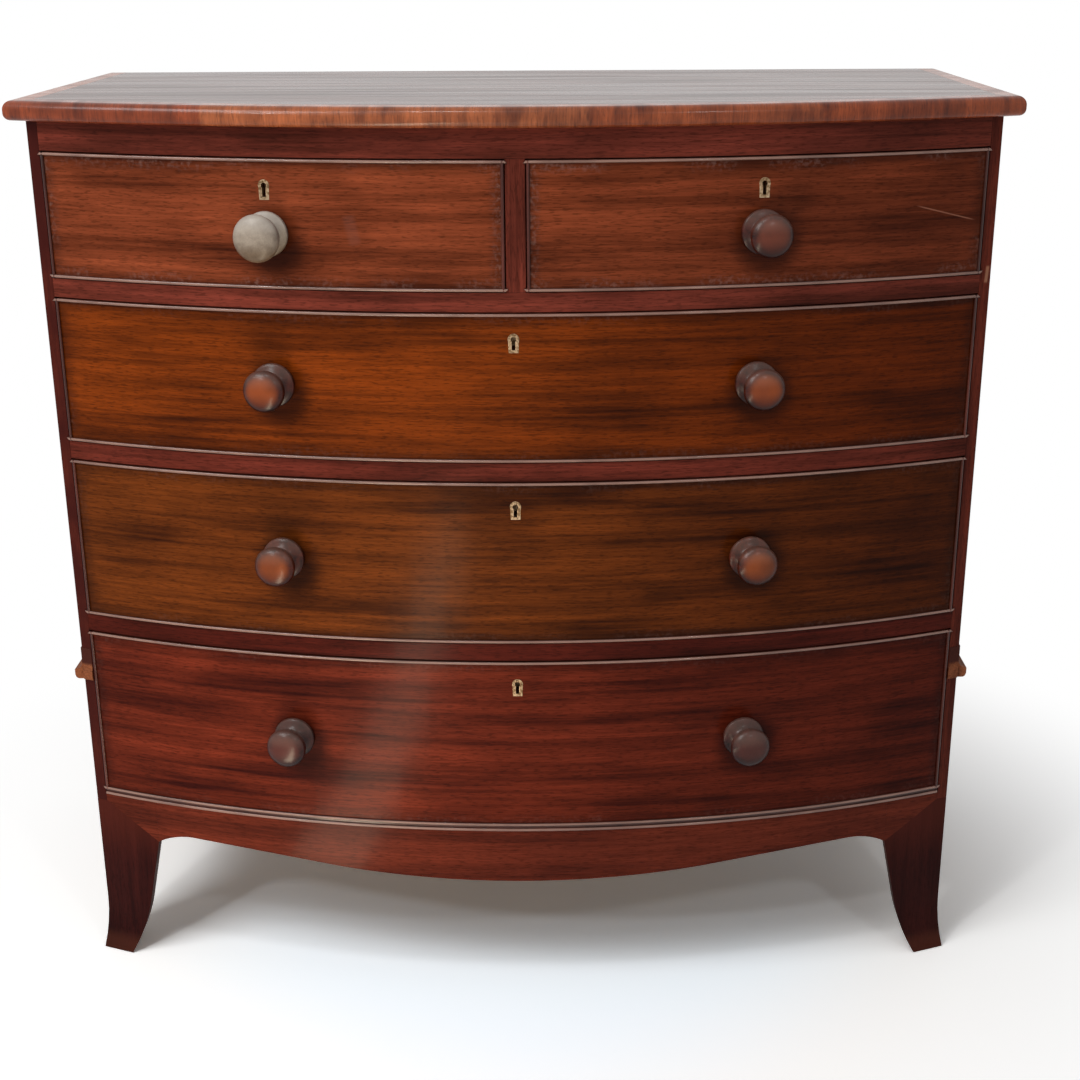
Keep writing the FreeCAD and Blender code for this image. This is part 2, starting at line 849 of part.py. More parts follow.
def build_blocks():
    """Blocks behind the facings, and the brackets that close the rear feet."""
    body = new_body("foot_blocks_body")
    face = half_width - size.facing_thickness
    wide = size.block_width
    rear = depth(size.side_depth - size.rear_bracket_thickness)
    front = on_arc(bow_radius - size.facing_thickness, face)
    for sign in (-1, 1):
        start, end = in_order(sign * face, sign * (face - wide))
        for near in (front, rear - wide - size.glue_line):
            box(body, (start, near, size.block_bottom), (end, near + wide, side_bottom))
    thick = size.glue_block_thickness
    half = size.glue_block_length / 2
    back = on_arc(bow_radius - size.facing_thickness, half)
    for place in (-1, 0, 1):
        box(
            body,
            (-half, back, side_bottom - thick),
            (half, back + thick, side_bottom),
            turned_to=place * size.stop_spacing,
        )
    pieces = [body]
    for sign in (-1, 1):
        bracket = new_body("rear_bracket")
        corners = [
            (sign * (half_width - size.foot_top_width), side_bottom),
            *foot_inner_edge(sign, size.foot_top_width, size.side_toe_width),
            (sign * face, formula(0)),
            (sign * face, side_bottom),
        ]
        edges = {2: Bend(size.foot_calf_radius, sign)}
        sketch = new_sketch(bracket, "XZ_Plane", corners, edges, offset=-depth(size.side_depth))
        pad(bracket, sketch, size.rear_bracket_thickness)
        pieces.append(bracket)
    keep("foot_blocks", group("foot_blocks_group", pieces))


def build_side_mouldings():
    """A moulding along each side at the lowest drawer, returned across the case's front edge."""
    low = size.moulding_bottom
    fillet_low = low + size.moulding_ovolo
    fillet_high = fillet_low + size.moulding_fillet
    cove_high = fillet_high + size.moulding_cove
    top = cove_high + size.moulding_frieze
    pieces = []

    def profile(face, reach, thin, sign):
        """Ovolo, fillet, cove and frieze, standing out from a face towards sign."""
        corners = [
            (face, low),
            (face + sign * (reach - size.moulding_ovolo), low),
            (face + sign * (reach - size.moulding_ovolo / 4), fillet_low),
            (face + sign * reach, fillet_low),
            (face + sign * reach, fillet_high),
            (face + sign * thin, cove_high),
            (face + sign * thin, top),
            (face, top),
        ]
        edges = {1: Bend(size.moulding_ovolo, sign), 4: Bend(size.moulding_cove, -sign)}
        return corners, edges

    thin = size.moulding_frieze_projection
    for sign in (-1, 1):
        strip = new_body("side_strip")
        corners, edges = profile(sign * half_width, size.moulding_projection, thin, sign)
        sketch = new_sketch(strip, "XZ_Plane", corners, edges, offset=-depth(size.side_depth))
        pad(strip, sketch, size.side_depth)
        pieces.append(strip)
        end = new_body("side_strip_return")
        start, finish = in_order(sign * (inside + size.gap_side), sign * (half_width - size.glue_line))
        bowed_board(end, start, finish, bow_radius + size.moulding_return, Round(bow_radius), low, top)
        pieces.append(end)
    keep("side_mouldings", group("side_mouldings_group", pieces))


# ------------------------------------------------------------------ drawers
class Drawer:
    """One drawer: its name, its row and its place in the case."""

    def __init__(self, name, row, left, right):
        self.name = name
        self.row = row
        self.left = left + size.gap_side
        self.right = right - size.gap_side
        self.bottom = opening_bottom[row] + size.gap_below
        self.top = opening_top[row] - size.gap_above
        self.middle = (left + right) / 2

    def label(self, piece):
        return f"{self.name}_{piece}"


def front_blank(drawer):
    """The bowed front, with flat seats at its ends for the drawer's sides."""
    body = new_body(drawer.label("front_blank"))
    inner = bow_radius - size.front_thickness
    seat_left = drawer.left + size.drawer_side_thickness
    seat_right = drawer.right - size.drawer_side_thickness
    corners = [
        (drawer.left, on_arc(bow_radius, drawer.left)),
        (drawer.right, on_arc(bow_radius, drawer.right)),
        (drawer.right, on_arc(inner, seat_right)),
        (seat_right, on_arc(inner, seat_right)),
        (seat_left, on_arc(inner, seat_left)),
        (drawer.left, on_arc(inner, seat_left)),
    ]
    edges = {0: Round(bow_radius), 3: Round(inner)}
    sketch = new_sketch(body, "XY_Plane", corners, edges, offset=drawer.bottom)
    pad(body, sketch, drawer.top - drawer.bottom)
    return body


def level_bead(drawer, low, inward):
    """The cockbead along the top or bottom edge of a front; inward is the side its mitres open to."""
    body = new_body(drawer.label("level_bead"))
    high = low + size.bead_thickness
    back = size.bead_depth - bow_radius
    tip = -bow_radius - size.bead_projection
    sketch = new_sketch(body, "YZ_Plane", [(back, low), (tip, low), (tip, high), (back, high)])
    revolve(body, sketch, 2.1 * arcsine(inside / (bow_radius - size.bead_depth)))
    outer_z = high if inward < 0 else low
    over = size.bead_thickness
    for edge, sign in ((drawer.left, 1), (drawer.right, -1)):
        past = edge - sign * size.case_width
        start = edge + sign * size.glue_line
        waste = [
            (start - sign * over, outer_z - inward * over),
            (start + sign * 2 * over, outer_z + inward * 2 * over),
            (past, outer_z + inward * 2 * over),
            (past, outer_z - inward * over),
        ]
        pocket(body, new_sketch(body, "XZ_Plane", waste))
    return body


def upright_bead(drawer, edge, sign):
    """The cockbead down one end of a front; sign points towards the drawer's middle."""
    body = new_body(drawer.label("upright_bead"))
    low, high = in_order(edge, edge + sign * size.bead_thickness)
    outer = bow_radius + size.bead_projection
    bowed_board(body, low, high, outer, Round(bow_radius - size.bead_depth), drawer.bottom, drawer.top)
    over = size.bead_thickness
    for outer_z, inward in ((drawer.top, -1), (drawer.bottom, 1)):
        waste = [
            (edge - sign * over, outer_z - inward * over),
            (edge + sign * 2 * over, outer_z + inward * 2 * over),
            (edge + sign * 2 * over, outer_z - inward * over),
        ]
        pocket(body, new_sketch(body, "XZ_Plane", waste))
    return body


def add_notches(body, plane_x, tip, seat, first, count, extent):
    """A row of notches between dovetails; the tails flare from the seat out to the tip."""
    outward = 1 if tip.number > seat.number else -1
    past = tip + outward
    narrow = size.pin_width / 2 - size.tail_slope * outward * (past - seat)
    wide = size.pin_width / 2
    corners = [(seat, first - wide), (past, first - narrow), (past, first + narrow), (seat, first + wide)]
    sketch = new_sketch(body, "YZ_Plane", corners, offset=plane_x)
    repeat(body, sketch, pocket(body, sketch), count, extent)


def side_board(drawer, start, seat_x):
    """A drawer side with its dovetails, half-blind at the front and through at the back."""
    body = new_body(drawer.label("side"))
    seat = on_arc(bow_radius - size.front_thickness, seat_x)
    tip = seat - size.tail_length
    high = drawer.top - size.drawer_side_drop
    corners = [(tip, drawer.bottom), (drawer_back, drawer.bottom), (drawer_back, high), (tip, high)]
    sketch = new_sketch(body, "YZ_Plane", corners, offset=start)
    pad(body, sketch, size.drawer_side_thickness)
    tails = TAILS[drawer.row]
    add_notches(body, start, tip, seat, drawer.bottom, tails + 1, high - drawer.bottom)
    low = drawer.bottom + size.drawer_bottom_rise + size.drawer_bottom_tongue
    pitch = (drawer.top - size.drawer_back_drop - low) / tails
    back_seat = drawer_back - size.drawer_back_thickness
    add_notches(body, start, drawer_back, back_seat, low + pitch, tails - 1, pitch * (tails - 2))
    return body


def drawer_bottom(drawer):
    """The bottom board, butted to the curve of the front; its rebated edges run in grooves and under the back."""
    body = new_body(drawer.label("bottom"))
    low = drawer.bottom + size.drawer_bottom_rise
    high = low + size.drawer_bottom_thickness
    front = bow_radius - size.front_thickness - size.glue_line
    reach = size.drawer_side_thickness - size.drawer_groove
    left = drawer.left + reach
    right = drawer.right - reach
    bowed_board(body, left, right, front, drawer_back, low, high)
    tongue = low + size.drawer_bottom_tongue
    rebate = size.drawer_groove + size.drawer_bottom_relief
    behind = drawer_back - size.drawer_back_thickness - size.drawer_bottom_relief
    box(body, (left - 1, -bow_radius, tongue), (left + rebate, drawer_back + 1, high + 1), "Subtractive")
    box(body, (right - rebate, -bow_radius, tongue), (right + 1, drawer_back + 1, high + 1), "Subtractive")
    box(body, (left - 1, behind, tongue), (right + 1, drawer_back + 1, high + 1), "Subtractive")
    return body


def drawer_back_board(drawer, sides):
    blank = new_body(drawer.label("back_blank"))
    low = drawer.bottom + size.drawer_bottom_rise + size.drawer_bottom_tongue
    high = drawer.top - size.drawer_back_drop
    near = drawer_back - size.drawer_back_thickness
    box(blank, (drawer.left, near, low), (drawer.right, drawer_back, high))
    return cut(drawer.label("back_cut"), blank, sides)


def keyhole_outline(middle, wall):
    """A round-headed keyhole, or the escutcheon round it when wall is more than nothing."""
    radius = size.keyhole_radius + wall
    half = size.keyhole_slot / 2 + wall
    foot = middle - size.keyhole_height / 2 - wall
    head = middle + size.keyhole_height / 2 - size.keyhole_radius
    corners = [(-half, foot), (half, foot)]
    for step in range(KEYHOLE_FLATS):
        turn = math.radians(-45 + 270 * (step + 0.5) / KEYHOLE_FLATS)
        corners.append((radius * math.cos(turn), head + radius * math.sin(turn)))
    return corners


def escutcheon_and_keyhole(drawer):
    """The brass thread round the keyhole, and the prism that cuts the hole in the front and lock."""
    middle = drawer.top - size.keyhole_drop
    face = bow_radius + size.escutcheon_rise
    thread = new_body(drawer.label("escutcheon"), turned_to=drawer.middle)
    outline = keyhole_outline(middle, size.escutcheon_wall)
    sketch = new_sketch(thread, "XZ_Plane", outline, offset=face - size.escutcheon_depth)
    hole = keyhole_outline(middle, formula(0))
    add_loop(sketch, hole, {})
    pad(thread, sketch, size.escutcheon_depth)

    prism = new_body(drawer.label("keyhole"), turned_to=drawer.middle)
    deep = bow_radius - size.front_thickness + size.lock_thickness / 2
    pad(prism, new_sketch(prism, "XZ_Plane", hole, offset=deep), face + 1 - deep)
    return thread, prism


def lock_case(drawer, keyhole):
    """A box let into the back of the front, open at the top for its bolt."""
    body = new_body(drawer.label("lock_case"), turned_to=drawer.middle)
    back = size.front_thickness - bow_radius
    near = back - size.lock_thickness
    half = size.lock_width / 2
    box(body, (-half, near, drawer.top - size.lock_height), (half, back, drawer.top))
    middle = back - size.lock_thickness / 2
    reach = size.bolt_thickness / 2 + size.bolt_play
    slot = size.bolt_width / 2 + size.bolt_play
    floor = drawer.top - size.lock_height + size.lock_floor
    box(body, (-slot, middle - reach, floor), (slot, middle + reach, drawer.top), "Subtractive")
    return cut(drawer.label("lock_case_cut"), body, [keyhole])


def lock_bolt(drawer):
    body = new_body(drawer.label("bolt"), turned_to=drawer.middle)
    middle = size.front_thickness - size.lock_thickness / 2 - bow_radius
    floor = drawer.top - size.lock_height + size.lock_floor + size.bolt_play
    half = size.bolt_width / 2
    reach = size.bolt_thickness / 2
    top = drawer.top - size.bolt_play
    box(body, (-half, middle - reach, floor), (half, middle + reach, top))
    return body


def faceted_turning(rings):
    """A turned form in flats: plane facets between many-sided rings, given as (radius, how far out)."""
    loops = []
    for radius, out in rings:
        turns = [2 * math.pi * step / KNOB_FLATS for step in range(KNOB_FLATS)]
        loops.append([Vector(radius * math.cos(turn), -out, radius * math.sin(turn)) for turn in turns])
    outlines = [loops[0], loops[-1]]
    for near, far in zip(loops, loops[1:]):
        for step in range(KNOB_FLATS):
            after = (step + 1) % KNOB_FLATS
            outlines.append([near[step], near[after], far[after], far[step]])
    faces = [Part.Face(Part.makePolygon(outline + outline[:1])) for outline in outlines]
    return Part.makeSolid(Part.makeShell(faces))


def knob(drawer, across, height, head_radius):
    """A turned knob, square to the bow: flange, ringed neck, spreading head and domed face."""
    rings = [
        (size.knob_flange_radius, 0),
        (size.knob_flange_radius, size.knob_flange_rim),
        (size.knob_neck_radius, size.knob_neck_start),
        (size.knob_ring_radius, size.knob_ring),
        (size.knob_neck_radius, size.knob_head_start),
        (head_radius, size.knob_head_rim),
        (head_radius * size.knob_dome_share, size.knob_projection - size.knob_dome_drop),
        (head_radius * size.knob_face_share, size.knob_projection),
    ]
    turned = doc.addObject("Part::Feature", drawer.label("knob"))
    numbers = [(formula(radius).number, formula(bow_radius + out).number) for radius, out in rings]
    turned.Shape = faceted_turning(numbers)
    bind(turned, "Placement.Base.y", frame_shift + bow_centre)
    bind(turned, "Placement.Base.z", height)
    bind(turned, "Placement.Rotation.Angle", arcsine(across / bow_radius))
    return turned


def build_drawer(drawer, knob_places, knob_height, head_radius):
    beads = [
        level_bead(drawer, drawer.top - size.bead_thickness, -1),
        level_bead(drawer, drawer.bottom, 1),
        upright_bead(drawer, drawer.left, 1),
        upright_bead(drawer, drawer.right, -1),
    ]
    keep(drawer.label("cockbead"), group(drawer.label("bead_group"), beads))

    seat_left = drawer.left + size.drawer_side_thickness
    seat_right = drawer.right - size.drawer_side_thickness
    boards = [side_board(drawer, drawer.left, seat_left), side_board(drawer, seat_right, seat_right)]
    bottom = keep(drawer.label("bottom"), drawer_bottom(drawer))
    sides = [cut(drawer.label("side_cut"), board, [bottom]) for board in boards]
    keep(drawer.label("sides"), group(drawer.label("sides_group"), sides))
    keep(drawer.label("back"), drawer_back_board(drawer, sides))

    knobs = [knob(drawer, across, knob_height, head_radius) for across in knob_places]
    keep(drawer.label("knobs" if len(knobs) > 1 else "knob"), group(drawer.label("knob_group"), knobs))

    thread, keyhole = escutcheon_and_keyhole(drawer)
    case = lock_case(drawer, keyhole)
    keep(drawer.label("lock"), group(drawer.label("lock_group"), [case, thread]))
    bolt = keep(drawer.label("lock_bolt"), lock_bolt(drawer))

    recess = new_body(drawer.label("lock_recess"), turned_to=drawer.middle)
    back = size.front_thickness - bow_radius
    half = size.lock_width / 2
    low = drawer.top - size.lock_height
    box(recess, (-half, back - size.lock_thickness, low), (half, back + size.lock_thickness, drawer.top))
    well = new_body(drawer.label("thread_well"), turned_to=drawer.middle)
    outline = keyhole_outline(drawer.top - size.keyhole_drop, size.escutcheon_wall)
    face = bow_radius + size.escutcheon_rise
    deep = face - size.escutcheon_depth
    pad(well, new_sketch(well, "XZ_Plane", outline, offset=deep), size.escutcheon_depth)
    tools = [*beads, *boards, recess, well, keyhole]
    keep(drawer.label("front"), cut(drawer.label("front_cut"), front_blank(drawer), tools))
    return bolt


def build_drawers():
    left = Drawer("drawer_short_left", "short", -inside, muntin_left)
    right = Drawer("drawer_short_right", "short", muntin_right, inside)
    short_height = (left.bottom + left.top) / 2 - size.short_knob_drop
    build_drawer(left, [left.middle], short_height, size.odd_knob_head_radius)
    build_drawer(right, [right.middle], short_height, size.knob_head_radius)
    for row in ("upper", "middle", "lower"):
        drawer = Drawer(f"drawer_{row}", row, -inside, inside)
        places = [-size.knob_spacing_half, size.knob_spacing_half]
        build_drawer(drawer, places, (drawer.bottom + drawer.top) / 2, size.knob_head_radius)


# ------------------------------------------------------------------ build, check and write
def check():
    """Stops if any feature failed or any piece isn't a sound solid."""
    for item in doc.Objects:
        if "Invalid" in item.State or "Error" in item.State:
            raise RuntimeError(f"{item.Name}: {item.State}")
    for name, piece in nodes.items():
        shape = piece.Shape
        if shape.isNull() or not shape.isValid() or not shape.Solids:
            raise RuntimeError(f"{name} is not a sound solid")


build_frame()
build_partition_and_runners()
build_stops()
build_back()
build_top()
build_bead()
build_apron()
for hand, side_sign in (("left", -1), ("right", 1)):
    front_foot = build_front_foot(f"front_foot_{hand}", side_sign)
    build_base_side(f"base_side_{hand}", side_sign, front_foot)
build_blocks()
build_side_mouldings()
build_drawers()
doc.recompute()
check()

os.makedirs("parts", exist_ok=True)
for name, piece in nodes.items():
    piece.Shape.exportStep(os.path.join("parts", f"{name}.step"))
print(len(nodes), "pieces written")
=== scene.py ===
"""Dresses a bow front chest of drawers: polished mahogany, turned knobs, cockbeads and brass.

Lengths are metres. X runs along the front, Y from the front to the back, and Z is up.
"""
import math

import bmesh
import bpy
from mathutils import Matrix, Vector


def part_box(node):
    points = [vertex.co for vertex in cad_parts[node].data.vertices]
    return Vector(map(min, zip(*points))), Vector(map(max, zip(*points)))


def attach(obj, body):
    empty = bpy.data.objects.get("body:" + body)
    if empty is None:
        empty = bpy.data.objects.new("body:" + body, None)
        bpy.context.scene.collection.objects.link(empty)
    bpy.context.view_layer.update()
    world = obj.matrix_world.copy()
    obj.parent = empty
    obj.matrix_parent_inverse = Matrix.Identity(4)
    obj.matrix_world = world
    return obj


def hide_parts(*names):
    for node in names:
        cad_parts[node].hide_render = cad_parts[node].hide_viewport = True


bl_info = {
    "name": "Bow Front Chest of Drawers",
    "version": (1, 0, 0),
    "blender": (4, 5, 0),
    "location": "3D View > Sidebar > Chest",
    "description": "Gives a bow front chest its polished wood, beads, knobs, locks and studio",
    "category": "Object",
}

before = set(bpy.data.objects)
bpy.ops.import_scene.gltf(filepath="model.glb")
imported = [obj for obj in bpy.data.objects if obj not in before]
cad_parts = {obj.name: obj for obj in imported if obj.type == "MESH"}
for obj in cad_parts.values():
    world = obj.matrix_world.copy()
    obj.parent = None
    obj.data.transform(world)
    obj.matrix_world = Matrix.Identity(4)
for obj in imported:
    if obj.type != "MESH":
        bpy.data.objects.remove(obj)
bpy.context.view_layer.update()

LONG_DRAWERS = ("upper", "middle", "lower")
SHORT_DRAWERS = ("short_left", "short_right")
DRAWERS = SHORT_DRAWERS + LONG_DRAWERS


def node_box(node):
    """Lowest and highest corner of one of the frame's nodes."""
    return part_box(node)


# The case's lines, read from the frame.
SIDE_LOW, SIDE_HIGH = node_box("side_right")
TOP_LOW, TOP_HIGH = node_box("top_edge_moulding")
HALF_WIDTH = SIDE_HIGH.x
SIDE_INSIDE = SIDE_LOW.x
BACK = SIDE_HIGH.y

# How finely the pieces are worked.
SAME_POINT = 1e-6  # points nearer than this are one
FRAME_POINT = 1e-5  # the same for the frame's own points
STAVE = 0.02  # width of the staves that a bowed face is cut into
FACET_DEPTH = 0.0004  # how far a flat facet of the frame may stand off the bow
ARC_STEPS = 96  # flats along an arc across the whole front
RETURN_STEPS = 160  # the same for the short returns of the side mouldings
NOSE_STEPS = 8  # flats round the nose of a bead

# The camera's picture, in pixels.
PICTURE_WIDTH = 1080
PICTURE_MIDDLE = 545  # where the middle of the view falls, from the left
FOCAL_LENGTH = 1664


# ------------------------------------------------------------------ what a user would change
def length(name, description, default):
    """A size in metres, shown in the scene's own units."""
    return bpy.props.FloatProperty(
        name=name, description=description, default=default, min=0.0, precision=5, unit="LENGTH"
    )


def colour_value(hex_code):
    """The linear colour of an sRGB hex code."""
    channels = [int(hex_code[place:place + 2], 16) / 255 for place in (0, 2, 4)]
    return [value / 12.92 if value <= 0.04045 else ((value + 0.055) / 1.055) ** 2.4 for value in channels]


def colour(name, description, hex_code):
    """A colour that starts as an sRGB hex code."""
    return bpy.props.FloatVectorProperty(
        name=name, description=description, subtype="COLOR", size=3, min=0.0, max=1.0,
        default=colour_value(hex_code),
    )


def position(name, description, default):
    """A place along one axis in metres, on either side of nought."""
    return bpy.props.FloatProperty(
        name=name, description=description, default=default, precision=5, unit="LENGTH"
    )


def tilt(name, description, degrees):
    """An angle that starts as a number of degrees."""
    return bpy.props.FloatProperty(
        name=name, description=description, default=math.radians(degrees), subtype="ANGLE"
    )


def number(name, description, default):
    """A plain number above nought."""
    return bpy.props.FloatProperty(name=name, description=description, default=default, min=0.0)


class ChestSizes(bpy.types.PropertyGroup):
    """Sizes of the pieces that are worked finer than the frame."""

    bow_radius: length("Bow radius", "Radius of the drawer fronts, seen from above", 1.428125)
    bow_axis: length("Bow axis", "How far behind the middle the bow's upright axis stands", 1.177625)
    arris: length("Arris", "How far the edges of the case and the drawer boxes are rubbed down", 0.0007)
    fine_arris: length("Fine arris", "How far the edges of the top and the fronts are rubbed down", 0.0002)
    bead_thickness: length("Cockbead thickness", "Thickness of the beads round each drawer", 0.0035)
    bead_depth: length("Cockbead depth", "How far the beads are let into the front", 0.008)
    bead_projection: length("Cockbead projection", "How far the beads stand out from the front", 0.0025)
    glue_line: length("Glue line", "Width of a glued joint", 0.00005)
    top_band: length("Top edging width", "Width of the cross-grained edging of the top", 0.028)
    top_nose_upper: length("Upper nose radius", "Radius of the top edging's upper arris", 0.0095)
    top_nose_lower: length("Lower nose radius", "Radius of the top edging's lower arris", 0.0075)
    base_bead: length("Base bead", "Thickness of the bead across the base", 0.004)
    base_bead_back: length("Base bead depth", "Depth of the strip that carries the base bead", 0.020)
    foot_joint: length("Foot joint", "Height at which the apron's mitre with the foot starts", 0.164)
    knob_length: length("Knob length", "How far the knobs stand out", 0.042)
    knob_flange: length("Knob flange radius", "Radius of the knobs' back flange", 0.024)
    knob_head: length("Knob head radius", "Radius of the knobs' heads", 0.023)
    odd_knob_head: length("Odd knob radius", "Radius of the replaced knob's head", 0.025)
    knob_spacing: length("Knob spacing", "From the middle of a long drawer to each knob", 0.2615)
    short_knob_drop: length("Short knob drop", "How far short drawers' knobs sit under the middle", 0.010)
    keyhole_radius: length("Keyhole head radius", "Radius of a keyhole's round head", 0.0032)
    keyhole_slot: length("Keyhole slot", "Width of a keyhole's slot", 0.0038)
    keyhole_height: length("Keyhole height", "Height of a keyhole", 0.015)
    keyhole_drop: length("Keyhole drop", "From the top of a front to the middle of its keyhole", 0.032)
    escutcheon_wall: length("Escutcheon wall", "Width of the brass thread round a keyhole", 0.0030)


class ChestFinish(bpy.types.PropertyGroup):
    """Colours of the fronts, the rails, the feet and the beads."""

    short_light: colour("Short fronts, light", "Light figure of the short fronts", "8B4327")
    short_dark: colour("Short fronts, dark", "Dark figure of the short fronts", "42190A")
    upper_light: colour("Upper front, light", "Light figure of the upper long front", "853A0D")
    upper_dark: colour("Upper front, dark", "Dark figure of the upper long front", "341203")
    middle_light: colour("Middle front, light", "Light figure of the middle long front", "733812")
    middle_dark: colour("Middle front, dark", "Dark figure of the middle long front", "2B0F04")
    lower_light: colour("Lower front, light", "Light figure of the lowest front", "732C1A")
    lower_dark: colour("Lower front, dark", "Dark figure of the lowest front", "2E0A06")
    case_light: colour("Case, light", "Light figure of the rails and the muntin", "7D382B")
    case_dark: colour("Case, dark", "Dark figure of the rails and the muntin", "38150D")
    foot_light: colour("Feet, light", "Light figure of the feet and the side facings", "3C1410")
    foot_dark: colour("Feet, dark", "Dark figure of the feet and the side facings", "230706")
    # The bead nose colour is a painted highlight over worn polish.
    bead_nose_highlight: colour("Bead nose", "Colour of the beads where hands have rubbed them", "9A7668")


class ChestStage(bpy.types.PropertyGroup):
    """The floor's brightness and the camera."""

    camera_x: position("Camera X", "Along the front", 0.0483)
    camera_y: position("Camera Y", "From front to back", -1.9838)
    camera_z: position("Camera Z", "Above the floor", 1.1967)
    pitch: tilt("Pitch", "How far the camera looks down", 19.51)
    yaw: tilt("Yaw", "How far the camera is turned to the right", -0.53)
    roll: tilt("Roll", "How far the camera leans over", -0.32)
    focal_length: number(
        "Focal length", "Focal length as a share of the picture's width", FOCAL_LENGTH / PICTURE_WIDTH
    )
    floor_white: number("Floor white", "How bright the floor looks to the camera", 1.5)


# ------------------------------------------------------------------ mesh helpers
def sizes():
    """The sizes as they are set in the scene."""
    return bpy.context.scene.chest_sizes


def finish():
    """The colours as they are set in the scene."""
    return bpy.context.scene.chest_finish


def arc_y(radius, across):
    """Y of the point of an arc about the bow's axis that stands at X = across."""
    return sizes().bow_axis - math.sqrt(radius * radius - across * across)


def face_from(bm, points):
    """One face through a short list of points."""
    return bm.faces.new([bm.verts.new(point) for point in points])


def everything(bm):
    """All of a mesh, which is what a cut goes through."""
    return bm.verts[:] + bm.edges[:] + bm.faces[:]


def spin_profile(bm, points, sweep, steps=ARC_STEPS):
    """Turns a section, given as (radius, height), about the bow's axis, evenly to both sides."""
    s = sizes()
    axis = Vector((0, s.bow_axis, 0))
    face = face_from(bm, [(0, s.bow_axis - radius, height) for radius, height in points])
    turn = Matrix.Rotation(-sweep / 2, 4, "Z")
    bmesh.ops.rotate(bm, verts=face.verts[:], cent=axis, matrix=turn)
    geometry = face.verts[:] + face.edges[:] + [face]
    bmesh.ops.spin(bm, geom=geometry, cent=axis, axis=(0, 0, 1), angle=sweep, steps=steps, use_merge=False)


def sweep_past(half, radius):
    """The sweep of an arc that runs a little past a half width on both sides, to be sawn to length."""
    return 2.1 * math.asin(half / radius)


def draw_out(bm, faces, along):
    """Draws faces out along a vector and leaves them as the near end."""
    made = bmesh.ops.extrude_face_region(bm, geom=faces, use_keep_orig=True)
    moved = [item for item in made["geom"] if isinstance(item, bmesh.types.BMVert)]
    bmesh.ops.translate(bm, verts=moved, vec=along)


def extrude_profile(bm, points, along):
    """Draws a section out along a vector."""
    draw_out(bm, [face_from(bm, points)], along)


def saw_off(bm, point, normal):
    """Cuts away what lies on the normal's side of a plane and closes the cut."""
    made = bmesh.ops.bisect_plane(
        bm, geom=everything(bm), dist=1e-7, plane_co=point, plane_no=normal, clear_outer=True
    )
    rim = [item for item in made["geom_cut"] if isinstance(item, bmesh.types.BMEdge)]
    bmesh.ops.edgenet_fill(bm, edges=rim)


def join_into(whole, bm):
    """Adds a finished strip to the rest of its piece."""
    strip = bpy.data.meshes.new("strip")
    bm.to_mesh(strip)
    bm.free()
    whole.from_mesh(strip)
    bpy.data.meshes.remove(strip)


def set_on_bow(bm, x, z, proud=0.0):
    """Moves what was made at the origin to a place on the bowed face and turns it square to the face."""
    radius = sizes().bow_radius
    turn = Matrix.Rotation(math.asin(x / radius), 4, "Z")
    place = Vector((x, arc_y(radius, x), z)) + turn @ Vector((0, -proud, 0))
    bmesh.ops.transform(bm, verts=bm.verts[:], matrix=Matrix.Translation(place) @ turn)


def rounded_corner(centre, radius, start, end, steps):
    """Points of an arc in a section's plane, its angles in degrees."""
    turns = [math.radians(start + (end - start) * step / steps) for step in range(steps + 1)]
    return [(centre[0] + radius * math.cos(turn), centre[1] + radius * math.sin(turn)) for turn in turns]


def bevel_sharp(bm, width, angle=28.0):
    """Rubs down every edge that turns by more than an angle in degrees."""
    edges = [edge for edge in bm.edges if edge.is_manifold and edge.calc_face_angle(0) > math.radians(angle)]
    bmesh.ops.bevel(
        bm, geom=edges, offset=width, offset_type="OFFSET", segments=2, profile=0.5,
        affect="EDGES", clamp_overlap=True, material=-1,
    )


def add_piece(name, bm, material, body, stands_for=(), smooth=32.0):
    """Makes a finished mesh a piece that rides on a body; edges sharper than smooth stay crisp."""
    bmesh.ops.remove_doubles(bm, verts=bm.verts[:], dist=SAME_POINT)
    bmesh.ops.recalc_face_normals(bm, faces=bm.faces[:])
    for face in bm.faces:
        face.smooth = True
    for edge in bm.edges:
        edge.smooth = not edge.is_manifold or edge.calc_face_angle(0) < math.radians(smooth)
    mesh = bpy.data.meshes.new(name)
    bm.to_mesh(mesh)
    bm.free()
    mesh.materials.append(material)
    piece = bpy.data.objects.new(name, mesh)
    bpy.context.scene.collection.objects.link(piece)
    flat = piece.modifiers.new("flat faces stay flat", "WEIGHTED_NORMAL")
    flat.keep_sharp = True
    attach(piece, body)
    if stands_for:
        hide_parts(*stands_for)
    return piece


def eased_copy(node, material, body, arris=None):
    """Makes a piece of a node's own shape, with its arrises rubbed down, to stand for the node."""
    bm = bmesh.new()
    bm.from_mesh(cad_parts[node].data)
    bmesh.ops.remove_doubles(bm, verts=bm.verts[:], dist=FRAME_POINT)
    bmesh.ops.dissolve_limit(bm, angle_limit=math.radians(0.2), verts=bm.verts[:], edges=bm.edges[:])
    true_bow(bm)
    bevel_sharp(bm, sizes().arris if arris is None else arris)
    return add_piece(f"{node}_wood", bm, material, body, [node])


def true_bow(bm):
    """Cuts a bowed piece into staves and sets its face on the exact curve, so that it shines evenly."""
    facing = [vert for vert in bm.verts if on_bow(vert)]
    if not facing:
        return
    first = math.ceil(min(vert.co.x for vert in facing) / STAVE)
    last = math.floor(max(vert.co.x for vert in facing) / STAVE)
    for step in range(first, last + 1):
        bmesh.ops.bisect_plane(
            bm, geom=everything(bm), dist=SAME_POINT, plane_co=(step * STAVE, 0, 0), plane_no=(1, 0, 0)
        )
    for vert in bm.verts:
        if on_bow(vert):
            vert.co.y = arc_y(sizes().bow_radius, vert.co.x)


